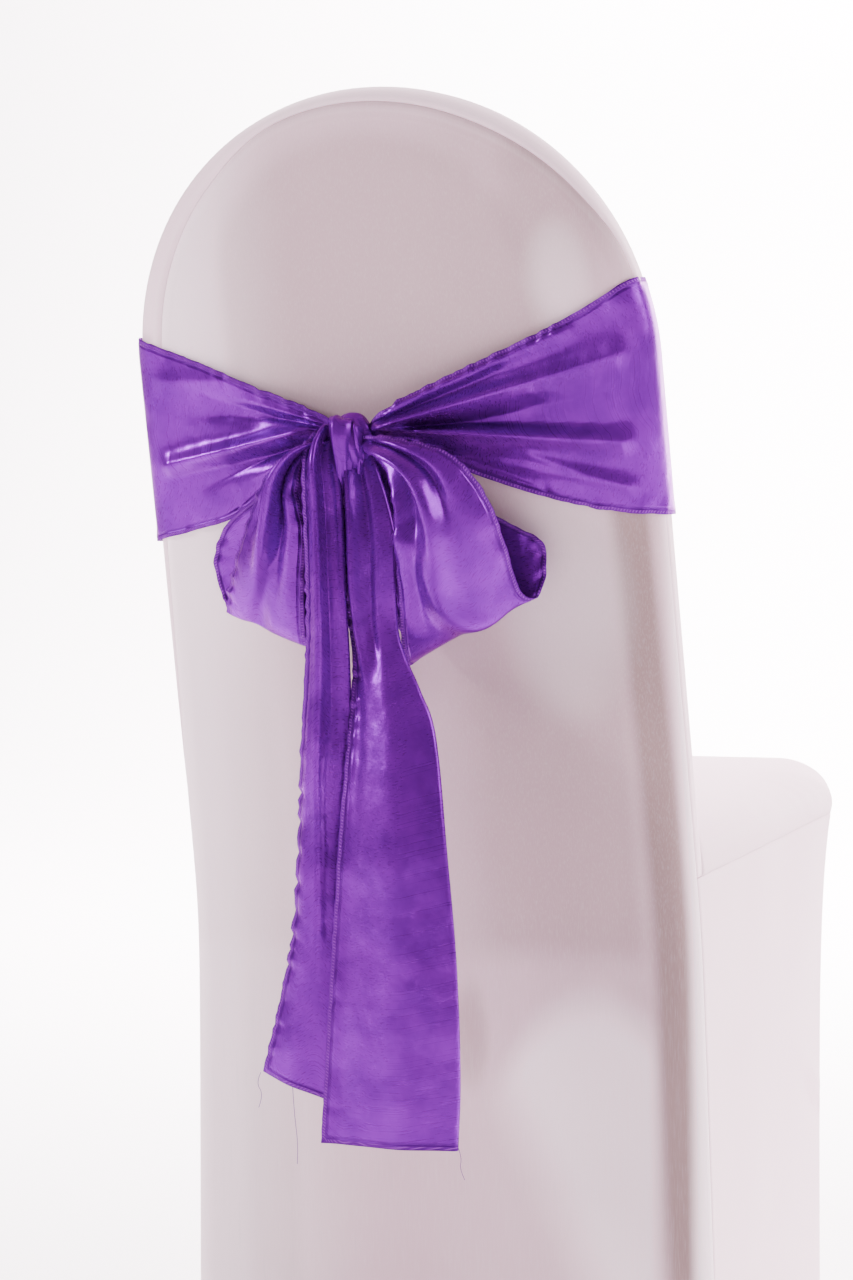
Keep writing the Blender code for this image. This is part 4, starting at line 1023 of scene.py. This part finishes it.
RIGHT_TAIL = (
    Hang(0.752, -0.0250, -0.0160, -0.016, 0.000, 0.004),
    Hang(0.735, -0.0290, -0.0030, -0.008, 0.002, 0.006),
    Hang(0.690, -0.0300, 0.0095, -0.009, 0.003, 0.010),
    Hang(0.650, -0.0290, 0.0095, -0.010, 0.003, 0.014),
    Hang(0.620, -0.0265, 0.0095, -0.011, 0.003, 0.018),
    Hang(0.598, -0.0240, 0.0165, -0.010, 0.003, 0.022),
    Hang(0.575, -0.0240, 0.0280, -0.007, 0.004, 0.030),
    Hang(0.545, -0.0255, 0.0400, -0.003, 0.005, 0.038),
    Hang(0.470, -0.0295, 0.0505, 0.007, 0.006, 0.046),
    Hang(0.370, -0.0362, 0.0590, 0.011, 0.004, 0.056),
    Hang(0.300, -0.0408, 0.0608, 0.011, 0.003, 0.062),
    Hang(0.249, -0.0445, 0.0585, 0.011, 0.002, 0.066),
)
# The cloth that is wrapped over the front of the knot, and the edge that peeps out beside it
KNOT_WRAP = (
    Cut(-0.0330, 0.760, 0.012, 0.013, -0.0200, 0.762, 0.012),
    Cut(-0.0345, 0.7715, 0.022, 0.025, -0.0190, 0.7705, 0.022),
    Cut(-0.0348, 0.7720, 0.033, 0.039, -0.0185, 0.7690, 0.034),
    Cut(-0.0345, 0.762, 0.038, 0.0445, -0.0185, 0.758, 0.038),
    Cut(-0.0340, 0.745, 0.038, 0.0450, -0.0195, 0.742, 0.038),
    Cut(-0.0330, 0.728, 0.036, 0.0420, -0.0215, 0.727, 0.036),
    Cut(-0.0315, 0.713, 0.034, 0.0375, -0.0245, 0.713, 0.034),
    Cut(-0.0295, 0.702, 0.031, 0.0330, -0.0270, 0.702, 0.031),
)
KNOT_EDGE = (
    Cut(-0.0190, 0.762, 0.016, 0.018, -0.0110, 0.760, 0.014),
    Cut(-0.0185, 0.7690, 0.030, 0.034, -0.0120, 0.7650, 0.026),
    Cut(-0.0180, 0.760, 0.034, 0.038, -0.0105, 0.756, 0.029),
    Cut(-0.0180, 0.744, 0.034, 0.037, -0.0110, 0.741, 0.029),
    Cut(-0.0195, 0.729, 0.032, 0.034, -0.0150, 0.729, 0.029),
)
print("the sash's strip is 0.178 by 2.74 m")

# %% [markdown]
# ## Folds, hems and puckers
# Gathered cloth keeps its pleats for a while after it leaves the knot. Each pleat is a soft ridge
# or trough that fades out. The overlocked hem is a little thicker than the cloth, and its
# thread draws it up, so that the edge waves in small uneven puckers.

# %% Shared helpers for the sash
FOLD_RAISED, FOLD_NARROWED, CREST_POWER = 1.75, 0.85, 1.5
HEM_PITCH, STITCH_PITCH, PUCKER_HIGH, PUCKER_REACH = 0.019, 0.009, 0.0013, 0.007
FAR_FROM_EDGE = 0.05


def relief(x, z, folds):
    """How far the folds lift the cloth at a place on the x-z plane. The power gives a crisp crest."""
    total = 0.0
    for fold in folds:
        run = np.array([fold.x1 - fold.x0, fold.z1 - fold.z0])
        length = np.linalg.norm(run)
        offset = np.array([x - fold.x0, z - fold.z0])
        t = offset @ run / length ** 2
        across = (offset[0] * run[1] - offset[1] * run[0]) / length
        fade = np.clip((t + 0.15) / 0.15, 0, 1) * np.clip((1.12 - t) / 0.12, 0, 1)
        t = np.clip(t, 0, 1)
        wide = FOLD_NARROWED * (fold.wide0 + (fold.wide1 - fold.wide0) * t)
        high = FOLD_RAISED * (fold.high0 + (fold.high1 - fold.high0) * t)
        total += high * math.exp(-abs(across / wide) ** CREST_POWER) * fade
    return total


def pleated(grid, pleats):
    """Pushes a grid along its normals by pleats given in shares of its rows and columns."""
    normals = grid_normals(grid)
    rows, columns = grid.shape[:2]
    t = np.linspace(0, 1, rows)[:, None]
    s = np.linspace(0, 1, columns)[None, :]
    push = np.zeros((rows, columns))
    for pleat in pleats:
        along = (t - pleat.start) / (pleat.end - pleat.start)
        middle = pleat.from_s + (pleat.to_s - pleat.from_s) * along
        fade = ease((along + 0.08) / 0.16) * (1 - ease((along - 0.55) / 0.45))
        push += pleat.high * np.exp(-((s - middle) / pleat.wide) ** 2) * fade
    return grid + normals * push[:, :, None]


def hemmed(grid, first, last, seed):
    """Edge distances for the hems at the first and last column, and the grid with its puckers."""
    along, across = grid_steps(grid)
    width = across[:, -1:]
    edge = np.full(across.shape, FAR_FROM_EDGE)
    if first:
        edge = np.minimum(edge, across)
    if last:
        edge = np.minimum(edge, width - across)
    normals = grid_normals(grid)
    pucker = np.zeros(edge.shape)
    for side, wave_seed in ((0, seed), (-1, seed + 1)):
        if (first, last)[side]:
            near = across if side == 0 else width - across
            wave = wander(along[:, side], HEM_PITCH, wave_seed)
            wave = wave + 0.6 * wander(along[:, side], STITCH_PITCH, wave_seed + 7)
            pucker += wave[:, None] * PUCKER_HIGH * np.exp(-(near / PUCKER_REACH) ** 2)
    ridge = 0.00035 * (1 - ease((edge - 0.0026) / 0.0012))
    return grid + normals * (pucker + ridge)[:, :, None], edge


def satin_piece(name, grid, seed, hems=(True, True), end_hem=False):
    grid, edge = hemmed(grid, hems[0], hems[1], seed)
    along, across = grid_steps(grid)
    if end_hem:
        edge = np.minimum(edge, along[-1:] - along)
    faces = grid_faces(grid.shape[0], grid.shape[1])
    piece = new_sheet(name, grid.reshape(-1, 3), faces, SATIN_SHEET,
                      {"edge": edge.ravel(), "along": along.ravel()}, SATIN)
    piece.modifiers["thickness"].offset = 0.0
    return piece


# %% [markdown]
# ## The band
# Each arm lies on the back panel with its gathers standing up, turns round the rim and meets the
# other in front, where the band is flat and plain. Above the straight sides the panel gets
# narrower, so `drawn_in` brings the arm's outer end in with the dome's edge.

# %% Band
def band_half(z):
    """Half the band's width: it follows the dome's edge where it stands above the straight sides."""
    above = max(z - SPRING_Z, 0.0) / DOME_RISE
    return half_width(min(z, SPRING_Z)) * math.sqrt(1 - above * above) + BAND_CLEAR


def drawn_in(x, z):
    """Moves a place on an arm inward where the dome is narrower."""
    narrow = 1 - band_half(z) / band_half(SPRING_Z - 0.01)
    return x * (1 - max(narrow, 0.0) * ease((abs(x) - 0.10) / 0.07))


def arm_point(arm, x, share):
    top, foot = hem_heights(arm, x)
    lift = float(np.interp(x, column(arm, "at"), column(arm, "lift")))
    z = foot + (top - foot) * share
    clear = max(lift + relief(x, z, ARM_FOLDS), BAND_CLEAR) + max(relief(x, z, FINE_FOLDS), -0.001)
    x = drawn_in(x, z)
    corner = max(abs(x) - (band_half(z) - RIM_RADIUS), 0.0) / RIM_RADIUS
    turned = RIM_RADIUS * (1 - math.sqrt(max(1 - min(corner, 1.0) ** 2, 0.0)))
    return np.array([x, rear_y(z) - clear + turned, z])


def hem_heights(arm, x):
    """Heights of the band's two hems at x."""
    at = column(arm, "at")
    return float(smooth(x, at, column(arm, "top"))), float(smooth(x, at, column(arm, "foot")))


def corner_row(side, face, angle, top, foot, shares):
    radius = RIM_RADIUS + BAND_CLEAR
    line = []
    for s in shares:
        z = foot + (top - foot) * s
        x = side * (band_half(z) - radius * (1 - math.sin(angle)))
        if face == "rear":
            y = rear_y(z) - BAND_CLEAR + radius * (1 - math.cos(angle))
        else:
            y = rear_y(z) + BACK_DEPTH + BAND_CLEAR - radius * (1 - math.cos(angle))
        line.append(np.array([x, y, z]))
    return line


def front_row(x, shares):
    """The band crosses the front with a slight lean."""
    lean = (x + 0.17) / 0.34 - 0.5
    top, foot = FRONT_TOP_Z + 0.018 * lean, FRONT_FOOT_Z + 0.012 * lean
    heights = [foot + (top - foot) * s for s in shares]
    return [np.array([x, rear_y(z) + BACK_DEPTH + BAND_CLEAR, z]) for z in heights]


def band_rows():
    near_hem = np.array([0, 0.006, 0.014, 0.024])
    shares = np.concatenate([near_hem, np.linspace(0.04, 0.96, 62), 1 - near_hem[::-1]])
    rows = [[arm_point(RIGHT_ARM, x, s) for s in shares] for x in np.linspace(-0.014, 0.1745, 84)]
    angles = np.radians(np.linspace(12, 90, 10))
    for side in (1, -1):
        arm = RIGHT_ARM if side > 0 else LEFT_ARM
        turn = []
        for a in angles:
            inward = (RIM_RADIUS + BAND_CLEAR) * (1 - math.sin(a))
            edge_top, edge_foot = hem_heights(arm, side * (band_half(SPRING_Z) - inward))
            turn.append(corner_row(side, "rear", a, edge_top, edge_foot, shares))
        for a in angles[::-1][1:]:
            share = ease(0.25 * (1 - a / angles[-1]))
            top = edge_top + (FRONT_TOP_Z - edge_top) * share
            foot = edge_foot + (FRONT_FOOT_Z - edge_foot) * share
            turn.append(corner_row(side, "front", a, top, foot, shares))
        if side > 0:
            rows += turn
            rows += [front_row(x, shares) for x in np.linspace(0.165, -0.165, 48)]
        else:
            rows += turn[::-1]
    rows += [[arm_point(LEFT_ARM, x, s) for s in shares] for x in np.linspace(-0.1745, -0.032, 66)]
    return np.array(rows)


band = satin_piece("sash_band", band_rows(), seed=11)

# %% [markdown]
# ## The loops
# The same kind of cross-cuts as the solid's, taken at closer steps, then pleated near the knot. One
# slanting trough runs on down each front layer, where a hand has pulled the bow open.

# %% Loops
def loop_rows(cuts, rows=120, columns=46):
    knots = np.arange(len(cuts))
    steps = np.linspace(0, len(cuts) - 1, rows)
    track = {name: smooth(steps, knots, column(cuts, name)) for name in Cut._fields}
    s = np.concatenate([[0, 0.01, 0.025], np.linspace(0.05, 0.95, columns), [0.975, 0.99, 1]])
    grid = np.zeros((rows, len(s), 3))
    for i in range(rows):
        x = track["left_x"][i] + (track["right_x"][i] - track["left_x"][i]) * s
        z = track["left_z"][i] + (track["right_z"][i] - track["left_z"][i]) * s
        ends = track["left_lift"][i] + (track["right_lift"][i] - track["left_lift"][i]) * s
        middle = (track["left_lift"][i] + track["right_lift"][i]) / 2
        lift = ends + (track["mid_lift"][i] - middle) * 4 * s * (1 - s)
        grid[i] = np.stack([x, rear_y(z) - lift, z], axis=1)
    return grid


RIGHT_PLEATS = (
    Pleat(0.02, 0.46, 0.26, 0.20, 0.09, 0.0075), Pleat(0.02, 0.40, 0.46, 0.42, 0.09, -0.0090),
    Pleat(0.02, 0.30, 0.66, 0.60, 0.07, 0.0050), Pleat(0.03, 0.36, 0.08, 0.06, 0.05, -0.0035),
    Pleat(0.24, 0.56, 0.15, 0.80, 0.13, -0.0075),
)
LEFT_PLEATS = (
    Pleat(0.02, 0.44, 0.62, 0.66, 0.09, 0.0080), Pleat(0.02, 0.38, 0.38, 0.42, 0.08, -0.0075),
    Pleat(0.02, 0.30, 0.18, 0.18, 0.06, 0.0045), Pleat(0.20, 0.56, 0.60, 0.34, 0.12, 0.0060),
)
right_loop = satin_piece("sash_right_loop", pleated(loop_rows(RIGHT_LOOP), RIGHT_PLEATS), seed=21)
left_loop = satin_piece("sash_left_loop", pleated(loop_rows(LEFT_LOOP), LEFT_PLEATS), seed=31)

# %% [markdown]
# ## The tails
# A tail hangs almost plumb and is folded lengthwise: a front layer with its hem at the left, a
# rounded fold at the right, and the rest turned back behind. The right tail swings back beside the
# loop and comes forward below it. Pleats that run most of its length keep it from looking flat.

# %% Tails
TAIL_PLANE = rear_y(KNOT_Z) - KNOT_LIFT - 0.013


def tail_rows(hangs, hem_drop, slant, rows=150):
    knots = np.arange(len(hangs))
    steps = np.linspace(0, len(hangs) - 1, rows)
    track = {name: smooth(steps, knots, column(hangs, name)) for name in Hang._fields}
    front = np.concatenate([[0, 0.012, 0.03], np.linspace(0.055, 1, 34)])
    bends = np.radians(np.linspace(20, 160, 8))
    back = np.concatenate([np.linspace(0, 0.92, 14), [0.97, 0.985, 1.0]])
    grid = []
    for i in range(rows):
        left, right = track["left"][i], track["right"][i]
        face = TAIL_PLANE - track["out"][i]
        down = (i / (rows - 1)) ** 3 * hem_drop
        radius = max(0.55 * TAIL_FOLD_RADIUS, min(TAIL_FOLD_RADIUS, 0.13 * (right - left)))
        sway = 0.0012 * float(wander(track["z"][i], 0.16, 5 + len(hangs)))
        line = []
        for s in front:
            x = left + (right - radius - left) * s
            bow = track["bow"][i] * 4 * s * (1 - s) - slant * s * s
            line.append((x, face - bow + sway, track["z"][i] - down * s))
        face += slant
        for a in bends:
            x = right - radius + radius * math.sin(a)
            line.append((x, face + radius * (1 - math.cos(a)) + sway, track["z"][i] - down))
        for s in back:
            x = right - radius - track["back"][i] * s
            rise = down * 0.9 * s * track["back"][i] / max(right - left, 0.01)
            line.append((x, face + 2 * radius + 0.001 * s + sway, track["z"][i] - down + rise))
        grid.append(line)
    return np.array(grid)


RIGHT_TAIL_PLEATS = (
    Pleat(0.00, 0.62, 0.17, 0.14, 0.060, -0.0070), Pleat(0.02, 0.60, 0.36, 0.30, 0.070, 0.0035),
    Pleat(0.30, 1.30, 0.10, 0.08, 0.060, 0.0022), Pleat(0.45, 1.45, 0.34, 0.40, 0.120, -0.0040),
)
LEFT_TAIL_PLEATS = (
    Pleat(0.00, 0.75, 0.12, 0.10, 0.060, 0.0050), Pleat(0.00, 1.00, 0.30, 0.26, 0.060, -0.0065),
    Pleat(0.00, 0.75, 0.46, 0.44, 0.055, 0.0040), Pleat(0.35, 1.40, 0.14, 0.20, 0.090, -0.0035),
)
right_tail = satin_piece("sash_right_tail", pleated(tail_rows(RIGHT_TAIL, 0.0, 0.0), RIGHT_TAIL_PLEATS),
                         seed=41, end_hem=True)
left_rows = tail_rows(LEFT_TAIL, LEFT_HEM_DROP, LEFT_TAIL_SLANT)
left_tail = satin_piece("sash_left_tail", pleated(left_rows, LEFT_TAIL_PLEATS), seed=51, end_hem=True)

# %% [markdown]
# ## The knot
# A core of tightly pulled pleats, with one broad fold wrapped over its front that narrows to a
# point below, and the edge of a second fold beside it.

# %% Knot
def knot_core():
    middle = np.array([KNOT_X, rear_y(KNOT_Z) - KNOT_LIFT, KNOT_Z])
    reach = (0.0140, 0.0150, 0.0205)
    rows, around = 60, 96
    grid = np.zeros((rows, around + 1, 3))
    for i, tilt in enumerate(np.linspace(-1.5, 1.5, rows)):
        for j, angle in enumerate(np.linspace(0, 2 * math.pi, around + 1)):
            twist = angle + 0.5 * math.sin(tilt)
            pleats = 0.07 * math.cos(5 * twist) + 0.05 * math.cos(9 * twist + 1.0)
            flat = abs(math.cos(tilt)) ** 0.8 * (1 + pleats * math.cos(tilt))
            offset = (reach[0] * flat * math.cos(angle), reach[1] * flat * math.sin(angle),
                      reach[2] * math.sin(tilt))
            grid[i, j] = middle + np.array(offset)
    return grid


WRAP_PLEATS = (
    Pleat(0.05, 1.3, 0.30, 0.40, 0.09, -0.0013), Pleat(0.05, 1.3, 0.62, 0.56, 0.10, 0.0008),
)
NO_HEMS = (False, False)
knot = satin_piece("sash_knot", knot_core(), 61, NO_HEMS)
wrap = satin_piece("sash_knot_wrap", pleated(loop_rows(KNOT_WRAP, 50, 24), WRAP_PLEATS), 62, NO_HEMS)
beside = satin_piece("sash_knot_edge", loop_rows(KNOT_EDGE, 40, 16), 63, NO_HEMS)

# %% [markdown]
# ## Loose threads
# A few ends of overlock thread hang from the hems. Each is a short curve with a round bevel.

# %% Threads
Thread = namedtuple("Thread", "x z points")
THREADS = (
    Thread(-0.0945, 0.296, ((0, 0), (-0.004, -0.008), (0.002, -0.016), (-0.002, -0.026))),
    Thread(-0.0700, 0.290, ((0, 0), (0.001, -0.022), (0.004, -0.046), (0.003, -0.060))),
    Thread(0.0560, 0.250, ((0, 0), (0.003, -0.008), (0.001, -0.016), (0.005, -0.024))),
)


def make_thread(name, thread):
    curve = bpy.data.curves.new(name, "CURVE")
    curve.dimensions = "3D"
    curve.bevel_depth = 0.00022
    curve.bevel_resolution = 1
    spline = curve.splines.new("NURBS")
    spline.points.add(len(thread.points) - 1)
    for point, (dx, dz) in zip(spline.points, thread.points):
        point.co = (thread.x + dx, TAIL_PLANE, thread.z + dz, 1.0)
    spline.use_endpoint_u = True
    spline.order_u = 3
    piece = bpy.data.objects.new(name, curve)
    bpy.context.scene.collection.objects.link(piece)
    curve.materials.append(SATIN)
    return piece


threads = [make_thread("sash_thread_" + str(k + 1), thread) for k, thread in enumerate(THREADS)]
print(len(threads), "loose threads")

# %% [markdown]
# ## Saying what each piece stands for
# Every piece rides on the one body and stands for its solid, which is hidden. The loops and
# tails show only part of the strip's width: the rest is gathered away inside them and isn't built.

def declare(piece, node):
    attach(piece, "root")
    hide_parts(node)


declare(back, "back_panel")
declare(front, "front_panel")
declare(seat, "seat_panel")
declare(skirt, "skirt")
for name, cup in pockets.items():
    declare(cup, "foot_pocket_" + name)
for thread in threads:
    declare(thread, "sash")
declare(band, "sash")
declare(right_loop, "sash")
declare(left_loop, "sash")
declare(right_tail, "sash")
declare(left_tail, "sash")
declare(knot, "sash")
declare(wrap, "sash")
declare(beside, "sash")
print("all pieces declared")

# %% [markdown]
# ## Floor, light and camera
# White cloth looks white only next to something brighter. So the paper behind gets the strongest
# light, the knit's own side a soft key light from the left, and the right rim and the seat each one
# of their own. The camera stands behind the chair, a little to its right, at the bow's height.

# %% Stage
PAPER, PAPER_GLOW, SKY = (0.93, 0.90, 0.915, 1.0), (1.0, 0.965, 0.98, 1.0), (1.0, 0.97, 0.985, 1.0)
WALL_Y, CORNER_RADIUS, WALL_TOP = 4.5, 1.5, 7.0


def sweep():
    floor = Paint("pale_paper", Roughness=0.9, Specular_IOR_Level=0.1, Base_Color=PAPER,
                  Emission_Color=PAPER_GLOW, Emission_Strength=0.42)
    start = WALL_Y - CORNER_RADIUS
    profile = [(-6.0, 0.0), (start, 0.0)]
    for a in np.radians(np.linspace(10, 90, 9)):
        profile.append((start + CORNER_RADIUS * math.sin(a), CORNER_RADIUS * (1 - math.cos(a))))
    profile.append((WALL_Y, WALL_TOP))
    points = [(x, y, z) for y, z in profile for x in (-8.0, 8.0)]
    faces = [(2 * k, 2 * k + 1, 2 * k + 3, 2 * k + 2) for k in range(len(profile) - 1)]
    mesh = bpy.data.meshes.new("paper_sweep")
    mesh.from_pydata(points, [], faces)
    mesh.polygons.foreach_set("use_smooth", [True] * len(mesh.polygons))
    stage = bpy.data.objects.new("paper_sweep", mesh)
    bpy.context.scene.collection.objects.link(stage)
    mesh.materials.append(floor.material)


def soft_light(name, place, aim, size, power, colour):
    lamp = bpy.data.lights.new(name, "AREA")
    lamp.size = size
    lamp.energy = power
    lamp.color = colour
    thing = bpy.data.objects.new(name, lamp)
    thing.location = place
    thing.rotation_euler = (Vector(aim) - Vector(place)).to_track_quat("-Z", "Y").to_euler()
    bpy.context.scene.collection.objects.link(thing)


sweep()
soft_light("key", (-2.1, -1.7, 1.7), (0, -0.2, 0.6), 0.7, 92, (1.0, 0.93, 0.96))
soft_light("rim", (2.3, -0.2, 1.5), (0.1, -0.1, 0.6), 1.2, 60, (1.0, 0.92, 0.93))
soft_light("seat_light", (0.2, 1.5, 2.8), (0.2, 0.9, 0.0), 1.8, 260, (1.0, 0.93, 0.95))
soft_light("paper_light", (0.0, 2.6, 3.2), (0, 4.4, 1.0), 3.0, 1700, (1.0, 0.93, 0.95))
world = bpy.data.worlds.new("even_sky")
bpy.context.scene.world = world
world.use_nodes = True
world.node_tree.nodes["Background"].inputs[0].default_value = SKY
world.node_tree.nodes["Background"].inputs[1].default_value = 0.40
print("stage set")

# %% Camera
CAMERA_PLACE = (0.7566, -2.4867, 0.7544)
CAMERA_WAY = (-0.31163, 0.94825, -0.06096)
CAMERA_ROLL = -0.0099


def place_camera():
    way = Vector(CAMERA_WAY).normalized()
    right = way.cross(Vector((0, 0, 1))).normalized()
    up = right.cross(way)
    level = right * math.cos(CAMERA_ROLL) + up * math.sin(CAMERA_ROLL)
    upward = -right * math.sin(CAMERA_ROLL) + up * math.cos(CAMERA_ROLL)
    turn = Matrix((level, upward, -way)).transposed().to_4x4()
    lens = bpy.data.cameras.new("camera")
    lens.lens = 91.4
    lens.sensor_width = 36.0
    lens.clip_end = 50.0
    camera = bpy.data.objects.new("camera", lens)
    camera.matrix_world = Matrix.Translation(Vector(CAMERA_PLACE)) @ turn
    bpy.context.scene.collection.objects.link(camera)
    bpy.context.scene.camera = camera


place_camera()
